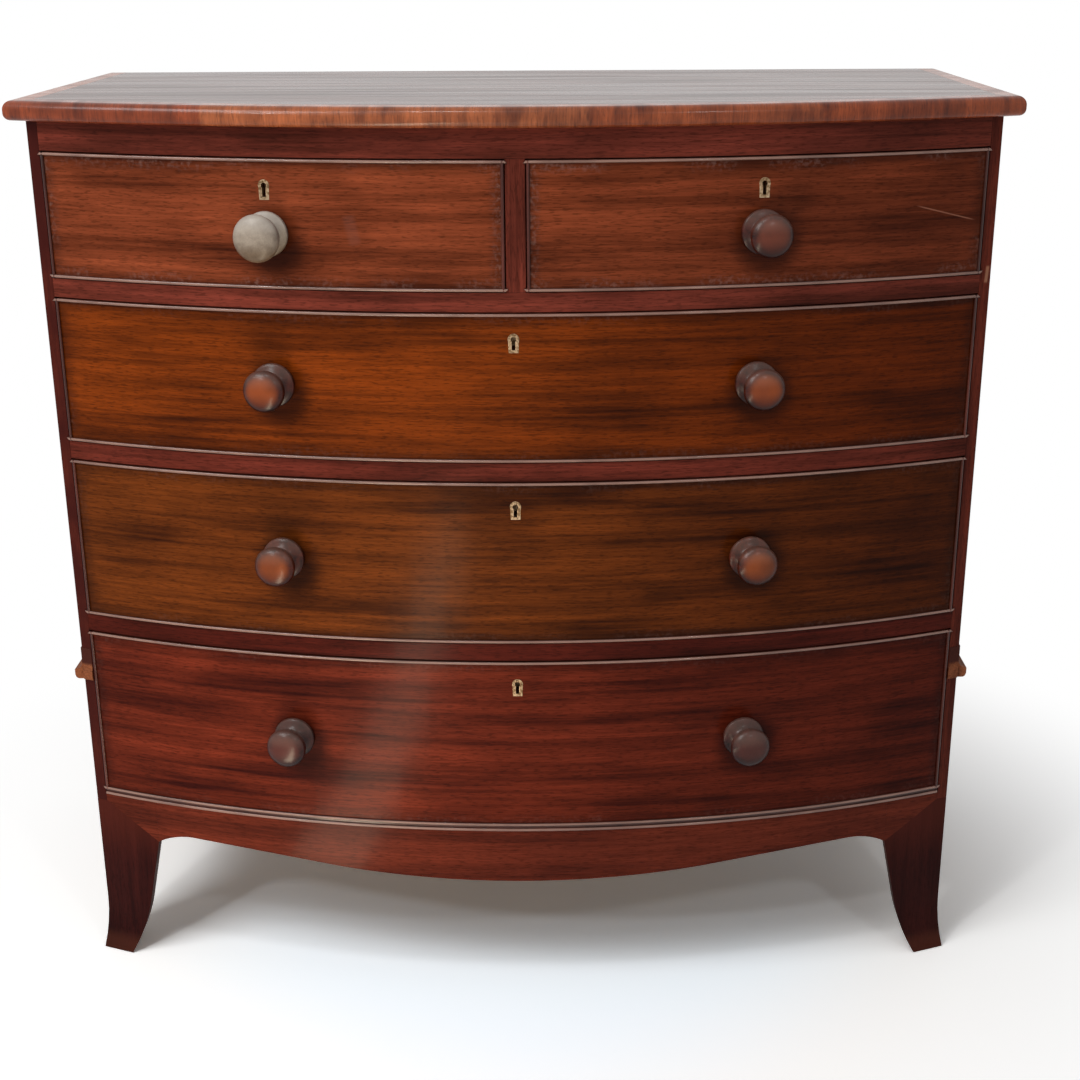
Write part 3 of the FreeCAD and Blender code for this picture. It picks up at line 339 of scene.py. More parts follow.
def on_bow(vert):
    """Whether a vertex lies on the bowed face, within the depth of a facet."""
    s = sizes()
    return abs(math.hypot(vert.co.x, vert.co.y - s.bow_axis) - s.bow_radius) < FACET_DEPTH


def second_wood(piece, material, point, normal):
    """Gives a piece another wood on the normal's side of a plane, as beyond a mitred joint."""
    bm = bmesh.new()
    bm.from_mesh(piece.data)
    bmesh.ops.bisect_plane(bm, geom=everything(bm), dist=SAME_POINT, plane_co=point, plane_no=normal)
    for face in bm.faces:
        if (face.calc_center_median() - point).dot(normal) > 0:
            face.material_index = 1
    bm.to_mesh(piece.data)
    bm.free()
    piece.data.materials.append(material)


# ------------------------------------------------------------------ material helpers
def add(tree, kind, inputs=None, **settings):
    """Adds a shader node; inputs go by socket name or number and hold a value or another node's output."""
    node = tree.nodes.new(kind)
    for key, value in settings.items():
        setattr(node, key, value)
    for socket, value in (inputs or {}).items():
        if isinstance(value, bpy.types.NodeSocket):
            tree.links.new(value, node.inputs[socket])
        else:
            node.inputs[socket].default_value = value
    return node


def empty_tree(owner):
    """The emptied node tree of a material or a world."""
    owner.use_nodes = True
    owner.node_tree.nodes.clear()
    return owner.node_tree


def new_material(name):
    """A material with a plain Principled surface; returns the material, its tree and the shader."""
    material = bpy.data.materials.new(name)
    tree = empty_tree(material)
    shader = add(tree, "ShaderNodeBsdfPrincipled")
    add(tree, "ShaderNodeOutputMaterial", {"Surface": shader.outputs["BSDF"]})
    return material, tree, shader


def rgba(value):
    """A colour with full cover, from a hex code or from three linear channels."""
    if isinstance(value, str):
        value = colour_value(value)
    return (*value, 1.0)


def mixed(tree, amount, first, second, blend="MIX"):
    """Two colours or maps mixed; each may be a colour or an output."""
    first = first if isinstance(first, bpy.types.NodeSocket) else rgba(first)
    second = second if isinstance(second, bpy.types.NodeSocket) else rgba(second)
    node = add(tree, "ShaderNodeMix", {0: amount, 6: first, 7: second}, data_type="RGBA", blend_type=blend)
    return node.outputs[2]


def ranged(tree, value, low, high, start=0.0, end=1.0):
    """A value's run from low to high, as a smooth run from start to end."""
    node = add(
        tree, "ShaderNodeMapRange",
        {"Value": value, "From Min": low, "From Max": high, "To Min": start, "To Max": end},
        interpolation_type="SMOOTHSTEP",
    )
    return node.outputs["Result"]


def maths(tree, operation, *values):
    """A sum worked on values or outputs."""
    node = add(tree, "ShaderNodeMath", dict(enumerate(values)), operation=operation)
    return node.outputs[0]


def axes_of(tree, where):
    """The X, Y and Z of a place, as outputs."""
    return add(tree, "ShaderNodeSeparateXYZ", {0: where}).outputs


def speckle(tree, where, scale, detail):
    """Noise that is alike in every direction, with scale marks to the metre."""
    noise = add(tree, "ShaderNodeTexNoise", {"Vector": where, "Scale": scale, "Detail": detail})
    return noise.outputs["Fac"]


def grain_noise(tree, coordinates, axis, along, across, offset=0.0, detail=3.0, distortion=0.0):
    """Noise drawn out along the axes that the grain follows; along and across are its marks' sizes in mm."""
    scale = [1000 / along if letter in axis else 1000 / across for letter in "XYZ"]
    mapping = add(
        tree, "ShaderNodeMapping",
        {"Vector": coordinates, "Location": (offset, offset * 1.7, offset * 0.6), "Scale": scale},
    )
    noise = add(
        tree, "ShaderNodeTexNoise",
        {"Vector": mapping.outputs["Vector"], "Scale": 1.0, "Detail": detail, "Distortion": distortion},
    )
    return noise.outputs["Fac"]


def wood(name, light, dark, axis="X", offset=0.0, figure=(420.0, 20.0), fleck=0.4, rough=0.4, gloss=0.015,
         coat=0.07, coat_rough=0.17, film="FFFFFF", bump=0.2, marks=()):
    """Open-grained wood under a worn polish: broad figure, streaks, fine fibres and short dark pores.

    Figure is the length and the width of the broad figure in mm. Gloss is the shine of the wood itself,
    coat and coat_rough are those of the polish over it, and film is the colour that the gloss takes from
    old wax. Each of marks is called with the tree, the coordinates, the shade so far and the deepest
    brown, and returns the shade with its mark laid over it.
    """
    material, tree, shader = new_material(name)
    light, dark = rgba(light)[:3], rgba(dark)[:3]
    deep = [value * 0.3 for value in dark]
    where = add(tree, "ShaderNodeTexCoord").outputs["Object"]
    long, wide = figure
    broad = grain_noise(tree, where, axis, long, wide, offset, distortion=0.5)
    streaks = grain_noise(tree, where, axis, long * 0.6, wide * 0.3, offset + 3.1, distortion=0.3)
    clouds = grain_noise(tree, where, axis, long * 0.35, wide * 3.0, offset + 9.9, detail=2.0)
    fibres = grain_noise(tree, where, axis, 40.0, 2.0, offset + 5.3)
    pores = grain_noise(tree, where, axis, 10.0, 1.2, offset + 7.7, detail=1.0)

    tone = maths(tree, "MULTIPLY", ranged(tree, broad, 0.32, 0.64), 0.45)
    tone = maths(tree, "ADD", tone, maths(tree, "MULTIPLY", ranged(tree, streaks, 0.34, 0.62), 0.25))
    tone = maths(tree, "ADD", tone, maths(tree, "MULTIPLY", ranged(tree, clouds, 0.34, 0.64), 0.3))
    shade = mixed(tree, tone, dark, light)
    glow = ranged(tree, fibres, 0.3, 0.7, 1.0 - 0.45 * fleck, 1.0 + 0.4 * fleck)
    grey = add(tree, "ShaderNodeCombineColor", {0: glow, 1: glow, 2: glow}).outputs[0]
    shade = mixed(tree, 1.0, shade, grey, "MULTIPLY")
    dashes = ranged(tree, pores, 0.53, 0.68, 0.0, fleck)
    shade = mixed(tree, dashes, shade, deep)
    for mark in marks:
        shade = mark(tree, where, shade, deep)

    height = maths(tree, "ADD", maths(tree, "MULTIPLY", fibres, 0.3), maths(tree, "MULTIPLY", dashes, -1.0))
    relief = add(tree, "ShaderNodeBump", {"Strength": bump, "Distance": 0.0004, "Height": height})
    tree.links.new(shade, shader.inputs["Base Color"])
    tree.links.new(ranged(tree, broad, 0.3, 0.7, rough + 0.06, rough - 0.05), shader.inputs["Roughness"])
    tree.links.new(relief.outputs["Normal"], shader.inputs["Normal"])
    shader.inputs["IOR"].default_value = 1.5
    shader.inputs["Specular IOR Level"].default_value = gloss
    shader.inputs["Coat Weight"].default_value = coat
    shader.inputs["Specular Tint"].default_value = rgba(film)
    shader.inputs["Coat Roughness"].default_value = coat_rough
    return material


def edge_shade_and_dust(box, dust):
    """Painted shade darkening a panel's edges next to its beads, with old polish gathered there, and dust in
    the corners of its beads.
    """
    left, right, bottom, top = box

    def mark(tree, where, shade, deep):
        place = axes_of(tree, where)
        sides = [
            maths(tree, "SUBTRACT", place["X"], left),
            maths(tree, "SUBTRACT", right, place["X"]),
            maths(tree, "SUBTRACT", place["Z"], bottom),
            maths(tree, "SUBTRACT", top, place["Z"]),
        ]
        inward = sides[0]
        for side in sides[1:]:
            inward = maths(tree, "MINIMUM", inward, side)
        # Painted shade: darker within two centimetres of the edges, by the beads.
        shade = mixed(tree, ranged(tree, inward, 0.002, 0.020, 0.5, 0.0), shade, deep)
        crumbs = ranged(tree, speckle(tree, where, 240.0, 6.0), 0.42, 0.72, 0.0, dust)
        patches = ranged(tree, speckle(tree, where, 14.0, 2.0), 0.4, 0.62)
        lying = maths(tree, "MULTIPLY", ranged(tree, inward, 0.003, 0.018, 1.0, 0.0), crumbs)
        lying = maths(tree, "MULTIPLY", lying, patches)
        return mixed(tree, lying, shade, "8E7068")

    return mark


def knob_shadow_and_grime(places):
    """Painted shadow round each knob, cast a little to the right of it and below, with dark, worn polish
    there too.
    """
    aside_by, below_by = 0.005, 0.010

    def mark(tree, where, shade, deep):
        place = axes_of(tree, where)
        for x, z in places:
            aside = maths(tree, "POWER", maths(tree, "SUBTRACT", place["X"], x + aside_by), 2.0)
            below = maths(tree, "POWER", maths(tree, "SUBTRACT", place["Z"], z - below_by), 2.0)
            away = maths(tree, "SQRT", maths(tree, "ADD", aside, below))
            # Painted shadow of the knob, darkest near it.
            shade = mixed(tree, ranged(tree, away, 0.022, 0.046, 0.75, 0.0), shade, deep)
        return shade

    return mark


def nose_wear_and_highlight(tone, start, full, most):
    """Another tone that sets in between two distances from the bow's upright axis, in rubbed patches. On the
    beads and the knobs' faces it is worn polish and a painted highlight together.
    """
    def mark(tree, where, shade, deep):
        place = axes_of(tree, where)
        behind = maths(tree, "SUBTRACT", place["Y"], sizes().bow_axis)
        squares = [maths(tree, "POWER", side, 2.0) for side in (place["X"], behind)]
        out = maths(tree, "SQRT", maths(tree, "ADD", *squares))
        rubbed = ranged(tree, speckle(tree, where, 22.0, 2.0), 0.3, 0.6, most * 0.6, most)
        amount = maths(tree, "MULTIPLY", ranged(tree, out, start, full), rubbed)
        return mixed(tree, amount, shade, tone)

    return mark


def bead_highlight_and_wear():
    """The greyish painted highlight along a bead's nose, over polish worn where hands reach it."""
    face = sizes().bow_radius
    return nose_wear_and_highlight(finish().bead_nose_highlight, face + 0.0011, face + 0.0024, 0.8)


def fading(axis, start, full, tone, most=1.0, blend="MIX"):
    """Another tone, or a tint to multiply by, that sets in smoothly along X, Y or Z."""
    def mark(tree, where, shade, deep):
        amount = ranged(tree, axes_of(tree, where)[axis], start, full, 0.0, most)
        return mixed(tree, amount, shade, tone, blend)

    return mark


def scratch(start, end, width, tone, most):
    """A straight line, such as a scratch or a joint, between two (x, z) points seen from the front."""
    run = Vector((end[0] - start[0], end[1] - start[1]))

    def mark(tree, where, shade, deep):
        place = axes_of(tree, where)
        x = maths(tree, "SUBTRACT", place["X"], start[0])
        z = maths(tree, "SUBTRACT", place["Z"], start[1])
        along = maths(tree, "ADD", maths(tree, "MULTIPLY", x, run.x), maths(tree, "MULTIPLY", z, run.y))
        part_way = maths(tree, "DIVIDE", along, run.length_squared)
        aside = maths(tree, "SUBTRACT", maths(tree, "MULTIPLY", x, run.y), maths(tree, "MULTIPLY", z, run.x))
        aside = maths(tree, "ABSOLUTE", maths(tree, "DIVIDE", aside, run.length))
        within = maths(tree, "ABSOLUTE", maths(tree, "SUBTRACT", part_way, 0.5))
        strength = ranged(tree, aside, width * 0.3, width, most, 0.0)
        line = maths(tree, "MULTIPLY", strength, ranged(tree, within, 0.35, 0.5, 1.0, 0.0))
        return mixed(tree, line, shade, tone)

    return mark


def metal(name, hex_light, hex_dark, rough):
    """Aged metal: bright where it is rubbed, brown where it has tarnished."""
    material, tree, shader = new_material(name)
    where = add(tree, "ShaderNodeTexCoord").outputs["Object"]
    spots = speckle(tree, where, 260.0, 4.0)
    tarnish = ranged(tree, spots, 0.4, 0.62)
    tree.links.new(mixed(tree, tarnish, hex_light, hex_dark), shader.inputs["Base Color"])
    tree.links.new(ranged(tree, spots, 0.3, 0.7, rough - 0.1, rough + 0.15), shader.inputs["Roughness"])
    shader.inputs["Metallic"].default_value = 1.0
    return material


# ------------------------------------------------------------------ operators: case
class CHEST_OT_case(bpy.types.Operator):
    """Polishes the sides, the rails and the muntin, and leaves the inside timbers dry"""

    bl_idname = "chest.case"
    bl_label = "Case"

    def execute(self, context):
        left, right = self.side_woods()
        rails, muntin = self.rail_woods()
        # Oak, planed and never polished: dull straw brown, a little darker with age.
        oak = wood("Oak, planed and dry", "A88358", "7A5A38", "Y", 4.1, rough=0.75, fleck=0.3, gloss=0.2,
                   coat=0.0)
        board = wood("Pine board, planed", "A47C4A", "7C5730", "X", 6.2, figure=(600.0, 40.0), rough=0.8,
                     fleck=0.12, gloss=0.2, coat=0.0)
        timbers = {
            "top_rail": rails,
            "drawer_rails": rails,
            "side_left": left,
            "side_right": right,
            "muntin": muntin,
            "drawer_partition": oak,
            "drawer_runners": oak,
            "drawer_stops": oak,
            "back_boards": self.back_wood(),
            "bottom_board": board,
            "foot_blocks": board,
        }
        for node, timber in timbers.items():
            eased_copy(node, timber, "case")
        return {"FINISHED"}

    def rail_woods(self):
        """Solid mahogany, french polished long ago: dark red-brown with a low, even shine."""
        colours = finish()
        # The rails darken downwards, towards the rail over the lowest drawer.
        pale_rail, dark_rail = 0.86, 0.44
        rails = wood("Mahogany rail, polished", colours.case_light, colours.case_dark, "XY", 1.3, marks=[
            fading("Z", pale_rail, dark_rail, "B89C94", 1.0, "MULTIPLY"),
        ])
        muntin = wood("Mahogany muntin, polished", colours.case_light, colours.case_dark, "Z", 2.9)
        return rails, muntin

    def side_woods(self):
        """The same polish on the sides. The left one is darker along its front edge, and the right one has
        lost a splinter.
        """
        face = sizes().bow_radius
        edge = nose_wear_and_highlight("3C1410", face - 0.003, face - 0.001, 1.0)
        chip = scratch((0.5195, 0.847), (0.521, 0.868), 0.0028, "A8765C", 0.75)
        left = wood("Mahogany side, polished, left", "6E2E20", "34120C", "Z", 3.4, marks=[edge])
        right = wood("Mahogany side, polished, right", "6E2E20", "3A140E", "Z", 3.9, marks=[chip])
        return left, right

    def back_wood(self):
        """Sawn pine, dull and yellow-brown: boards of unlike tone with dark joints between them."""
        low, high = node_box("back_boards")
        joints = [low.x + (high.x - low.x) * quarter / 4 for quarter in (1, 2, 3)]
        edge = 0.0002
        over = 0.3  # the joints' lines run past the boards, because a line fades at its ends
        marks = [
            fading("X", joint - edge, joint + edge, tint, blend="MULTIPLY")
            for joint, tint in zip(joints, ("E4D8CC", "F4E8DC", "E8DCD0"))
        ]
        marks += [
            scratch((joint, low.z - over), (joint, high.z + over), 0.002, "33200F", 0.85) for joint in joints
        ]
        return wood("Pine, sawn and aged", "BE955E", "95703E", "Z", 5.2, figure=(600.0, 40.0), rough=0.8,
                    fleck=0.12, gloss=0.2, coat=0.0, marks=marks)


class CHEST_OT_top(bpy.types.Operator):
    """Makes the polished top board and its round-nosed, cross-grained edging"""

    bl_idname = "chest.top"
    bl_label = "Top"

    def execute(self, context):
        s = sizes()
        # One wide mahogany board under the thickest polish: it mirrors the room at a low angle.
        board = wood("Mahogany top, french polished", "5A2C1C", "32160F", "X", 8.4, gloss=0.3, coat=0.1,
                     coat_rough=0.1, film="CFC2B0", rough=0.28)
        eased_copy("top_board", board, "case", s.fine_arris)

        low, high = TOP_LOW.z, TOP_HIGH.z
        outer = s.bow_axis - TOP_LOW.y
        inner = outer - s.top_band
        outer_x, inner_x = TOP_HIGH.x, TOP_HIGH.x - s.top_band
        lower, upper = s.top_nose_lower, s.top_nose_upper
        section = [(inner, low)]
        section += rounded_corner((outer - lower, low + lower), lower, -90, 0, 6)
        section += rounded_corner((outer - upper, high - upper), upper, 0, 90, 8)
        section += [(inner, high)]
        mitre_in = Vector((inner_x, arc_y(inner, inner_x), 0))
        mitre_out = Vector((outer_x, arc_y(outer, outer_x), 0))
        along = (mitre_out - mitre_in).normalized()
        away = Vector((along.y, -along.x, 0))
        if away.x < 0:
            away.negate()

        whole = bmesh.new()
        bm = bmesh.new()
        spin_profile(bm, section, 2 * math.asin((outer_x + s.top_band) / outer))
        for hand in (-1, 1):
            place = Vector((hand * mitre_in.x, mitre_in.y, 0))
            saw_off(bm, place, Vector((hand * away.x, away.y, 0)))
        join_into(whole, bm)
        for hand in (-1, 1):
            bm = bmesh.new()
            points = [(hand * (outer_x - (outer - radius)), BACK, height) for radius, height in section]
            extrude_profile(bm, points, Vector((0, mitre_out.y - BACK - s.top_band, 0)))
            place = Vector((hand * mitre_in.x, mitre_in.y + s.glue_line, 0))
            saw_off(bm, place, Vector((-hand * away.x, -away.y, 0)))
            for face in bm.faces:
                face.material_index = 1
            join_into(whole, bm)
        # Short lengths of mahogany laid across the edge: finely barred, in four lots of unlike tone.
        # Where a lot starts, how softly it does (below nought, it lies to the left), and its tint.
        tints = ((-0.32, -0.002, "D8B8B0"), (0.08, 0.002, "ECD8CC"), (0.32, 0.002, "F0E0D0"))
        lots = [
            fading("X", joint - blur, joint + blur, tint, blend="MULTIPLY") for joint, blur, tint in tints
        ]
        front, side = (
            wood(f"Mahogany crossbanding {name}, polished", "B0623A", "5E2C18", axis, 9.6,
                 figure=(60.0, 24.0), gloss=0.18, coat=0.2, coat_rough=0.12, rough=0.3, fleck=0.35,
                 marks=marks)
            for name, axis, marks in (("front", "YZ", lots), ("side", "XZ", []))
        )
        node = "top_edge_moulding"
        edging = add_piece("top_edging", whole, front, "case", [node])
        edging.data.materials.append(side)
        return {"FINISHED"}


class CHEST_OT_base(bpy.types.Operator):
    """Makes the apron, its bead, the splayed feet and the side facings"""

    bl_idname = "chest.base"
    bl_label = "Base"

    def execute(self, context):
        s = sizes()
        colours = finish()
        # Polished like the rails. The feet are redder higher up, and paler at the toes.
        apron = wood("Mahogany apron, polished", "6C2C1C", "43180F", "XY", 11.3)
        toes = fading("Z", 0.030, 0.012, "5A2E20", 0.5)
        knees = fading("Z", 0.12, 0.20, "5A2418", 0.5)
        feet = wood("Mahogany foot, polished", colours.foot_light, colours.foot_dark, "Z", 12.8,
                    marks=[toes, knees])
        eased_copy("front_apron", apron, "case")
        for node in ("base_side_left", "base_side_right"):
            eased_copy(node, feet, "case")
        for node, hand in (("front_foot_left", -1), ("front_foot_right", 1)):
            foot = eased_copy(node, feet, "case")
            low, high = node_box(node)
            start = Vector((hand * min(abs(low.x), abs(high.x)), 0, s.foot_joint))
            rise = Vector((hand * HALF_WIDTH, 0, high.z)) - start
            second_wood(foot, apron, start, Vector((-hand * rise.z, 0, abs(rise.x))))

        low, high = node_box("apron_bead")
        nose = s.base_bead / 2
        face = s.bow_radius
        back = face - s.base_bead_back
        section = [(back, low.z)]
        section += rounded_corner((face + s.bead_projection - nose, low.z + nose), nose, -90, 90, NOSE_STEPS)
        section += [(face, low.z + s.base_bead), (face, high.z), (back, high.z)]
        bm = bmesh.new()
        spin_profile(bm, section, sweep_past(high.x, face))
        for hand in (-1, 1):
            saw_off(bm, Vector((hand * high.x, 0, 0)), Vector((hand, 0, 0)))
        # The base bead has the same painted highlight along its nose, over worn polish.
        bead = wood("Mahogany bead, rubbed, nose highlight painted", "5A2C20", "2C120C", "XY", 13.9, gloss=0.3, coat=0.35,
                    coat_rough=0.1, rough=0.32, marks=[bead_highlight_and_wear()])
        add_piece("base_bead", bm, bead, "case", ["apron_bead"])
        return {"FINISHED"}


class CHEST_OT_side_mouldings(bpy.types.Operator):
    """Runs the moulding along each side and returns it on the front edge"""

    bl_idname = "chest.side_mouldings"
    bl_label = "Side mouldings"

    def execute(self, context):
        s = sizes()
        low, high = node_box("side_mouldings")
        base = low.z
        reach = high.x - HALF_WIDTH
        returned = 0.0035  # how far the return stands out, which is less than the moulding does
        spare = 0.02
        inner_x = SIDE_INSIDE + 0.001

        def profile(face, sign, out):
            """Ovolo, fillet, cove and frieze, drawn up from the moulding's foot."""
            ovolo, fillet, cove = 0.004, 0.0085, 0.008
            eased = 0.0006
            frieze = 0.0012 / reach * out
            points = [(0.0, base)]
            for step in range(6):
                turn = math.pi / 2 * step / 5
                points.append((out * 0.55 + out * 0.4 * math.sin(turn), base + ovolo * (1 - math.cos(turn))))
            points.append((out, base + ovolo + eased))
            points.append((out, base + ovolo + fillet - eased))
            points.append((out - eased, base + ovolo + fillet))
            for step in range(1, 7):
                turn = math.pi / 2 * step / 6
                points.append((
                    frieze + (out - frieze) * 0.86 * (1 - math.sin(turn)),
                    base + ovolo + fillet + cove * (1 - math.cos(turn)),
                ))
            points += [(frieze, high.z), (0.0, high.z)]
            return [(face + sign * place, height) for place, height in points]

        whole = bmesh.new()
        for hand in (-1, 1):
            bm = bmesh.new()
            points = [(x, BACK, z) for x, z in profile(hand * HALF_WIDTH, hand, reach)]
            extrude_profile(bm, points, Vector((0, arc_y(s.bow_radius, HALF_WIDTH) - BACK, 0)))
            join_into(whole, bm)

            bm = bmesh.new()
            sweep = 2 * math.asin((HALF_WIDTH + spare) / s.bow_radius)
            spin_profile(bm, profile(s.bow_radius, 1, returned), sweep, RETURN_STEPS)
            saw_off(bm, Vector((hand * inner_x, 0, 0)), Vector((-hand, 0, 0)))
            saw_off(bm, Vector((hand * HALF_WIDTH, 0, 0)), Vector((hand, 0, 0)))
            join_into(whole, bm)
        # Thin mahogany whose polish has worn through on the nose and gone dark on the frieze.
        worn = wood("Mahogany moulding, worn", "8A5236", "5E3020", "Y", 15.1, rough=0.5,
                    marks=[fading("Z", base + 0.017, base + 0.022, "42201A")])
        add_piece("side_moulding_wood", whole, worn, "case", ["side_mouldings"])
        return {"FINISHED"}


# ------------------------------------------------------------------ operators: drawers
SCUFFS = {
    # drawer: its scratches and smears, each as start, end, width, tone and strength
    "short_right": [((0.430, 0.9375), (0.502, 0.918), 0.0010, "A8705A", 0.55)],
    "short_left": [((-0.172, 0.940), (-0.164, 0.905), 0.009, "8E665C", 0.1)],
}


def knob_places(drawer):
    """The (x, z) of each of a drawer's knobs."""
    low, high = node_box(f"drawer_{drawer}_front")
    middle = (low.z + high.z) / 2
    if drawer in SHORT_DRAWERS:
        return [((low.x + high.x) / 2, middle - sizes().short_knob_drop)]
    return [(-sizes().knob_spacing, middle), (sizes().knob_spacing, middle)]


class CHEST_OT_drawer_fronts(bpy.types.Operator):
    """Veneers the bowed drawer fronts"""

    bl_idname = "chest.drawer_fronts"
    bl_label = "Drawer fronts"

    def execute(self, context):
        colours = finish()
        woods = {
            # drawer: light, dark, offset of the figure, dust by the beads, how far the right side is
            # darkened by darker wood and painted shade
            "short_left": (colours.short_light, colours.short_dark, 21.0, 0.35, 0.0),
            "short_right": (colours.short_light, colours.short_dark, 33.7, 0.35, 0.4),
            "upper": (colours.upper_light, colours.upper_dark, 42.1, 0.1, 0.65),
            "middle": (colours.middle_light, colours.middle_dark, 57.4, 0.1, 0.65),
            "lower": (colours.lower_light, colours.lower_dark, 61.9, 0.1, 0.5),
        }
        for drawer, (light, dark, offset, dust, dim) in woods.items():
            node = f"drawer_{drawer}_front"
            low, high = node_box(node)
            # Mahogany veneer, scraped and french polished: long streaks, short pores, a soft shine.
            # The veneers darken to the right: darker wood there, and painted shade where the bow turns away
            # from the light.
            marks = [
                fading("X", -0.15, 0.5, "8E6864", dim, "MULTIPLY"),
                # Painted shade along the edges by the beads, and painted shadow round the knobs.
                edge_shade_and_dust((low.x, high.x, low.z, high.z), dust),
                knob_shadow_and_grime(knob_places(drawer)),
            ]
            marks += [scratch(*line) for line in SCUFFS.get(drawer, [])]
            name = f"Mahogany veneer, {drawer.replace('_', ' ')} drawer"
            veneer = wood(name, light, dark, "XY", offset, marks=marks)
            eased_copy(node, veneer, f"drawer_{drawer}", sizes().fine_arris)
        return {"FINISHED"}


class CHEST_OT_cockbeads(bpy.types.Operator):
    """Plants the mitred, round-nosed beads round every drawer front"""

    bl_idname = "chest.cockbeads"
    bl_label = "Cockbeads"

    def execute(self, context):
        s = sizes()
        # Mahogany slips, rounded and worn by hands: dark, with a greyish painted highlight over worn polish
        # along the nose.
        bead = wood("Mahogany cockbead, polished", "4C241A", "26100A", "XY", 71.0, gloss=0.3, coat=0.35,
                    coat_rough=0.1, rough=0.32, fleck=0.3, marks=[bead_highlight_and_wear()])
        # The upright beads are a darker, shaded copy of the level beads' wood, without their painted
        # highlight: nearly as dark as the polish in their corners.
        upright = wood("Mahogany cockbead, dark upright", "5A2A20", "200C08", "Z", 73.0, gloss=0.2,
                       coat=0.15, rough=0.36, fleck=0.3)
        nose = s.bead_thickness / 2
        tip = s.bow_radius + s.bead_projection
        back = s.bow_radius - s.bead_depth
        for drawer in DRAWERS:
            low, high = node_box(f"drawer_{drawer}_front")
            reach = max(abs(low.x), abs(high.x))
            whole = bmesh.new()
            for level, inward in ((high.z, -1), (low.z, 1)):
                bottom = min(level, level + inward * s.bead_thickness)
                section = [(back, bottom)]
                section += rounded_corner((tip - nose, bottom + nose), nose, -90, 90, NOSE_STEPS)
                section += [(back, bottom + s.bead_thickness)]
                bm = bmesh.new()
                spin_profile(bm, section, sweep_past(reach, back))
                for edge, hand in ((low.x, -1), (high.x, 1)):
                    place = Vector((edge - hand * s.glue_line, 0, level))
                    saw_off(bm, place, Vector((hand, 0, -inward)).normalized())
                join_into(whole, bm)
            for edge, hand in ((low.x, 1), (high.x, -1)):
                start = 90 + hand * 90
                centre = (edge + hand * nose, tip - nose)
                points = [(edge, back)]
                points += rounded_corner(centre, nose, start, 180 - start, NOSE_STEPS)
                points += [(edge + hand * s.bead_thickness, back)]
                bm = bmesh.new()
                placed = [(x, arc_y(radius, x), low.z) for x, radius in points]
                extrude_profile(bm, placed, Vector((0, 0, high.z - low.z)))
                for level, inward in ((high.z, -1), (low.z, 1)):
                    saw_off(bm, Vector((edge, 0, level)), Vector((-hand, 0, -inward)).normalized())
                for face in bm.faces:
                    face.material_index = 1
                join_into(whole, bm)
            node = f"drawer_{drawer}_cockbead"
            slips = add_piece(f"{node}_wood", whole, bead, f"drawer_{drawer}", [node])
            slips.data.materials.append(upright)
        return {"FINISHED"}


def knob_profile(head):
    """A knob's outline, as (radius, how far out): flange, cove, ringed neck and domed head."""
    flange = sizes().knob_flange
    length_out = sizes().knob_length
    points = [(0.0, 0.0), (flange - 0.0006, 0.0), (flange, 0.0008)]
    points += [(flange, 0.0034), (flange - 0.0008, 0.0046)]
    points += [(0.0205, 0.0056), (0.0170, 0.0070), (0.0145, 0.0088), (0.0130, 0.0106), (0.0124, 0.0120)]
    points += rounded_corner((0.0128, 0.0150), 0.0025, -85, 85, 8)
    points += [(0.0126, 0.0180), (0.0128, 0.0192)]
    spread = head - 0.0225
    points += [(0.0142 + spread * 0.4, 0.0206), (0.0166 + spread * 0.6, 0.0220)]
    points += [(0.0190 + spread * 0.8, 0.0230)]
    points += [(0.0202 + spread, 0.0234), (0.0206 + spread, 0.0242), (0.0202 + spread, 0.0250)]
    # The head swells from its rim to its full radius and closes in a flattened dome.
    rim, rim_turn, fullness, steps = 0.0250, 38, 0.82, 16
    behind = math.sin(math.radians(rim_turn))
    for step in range(1, steps):
        turn = math.radians(-rim_turn + (90 + rim_turn) * step / steps)
        out = rim + (length_out - rim) * (math.sin(turn) + behind) / (1 + behind)
        points.append((head * math.cos(turn) ** fullness, out))
    points.append((0.0, length_out))
    return points


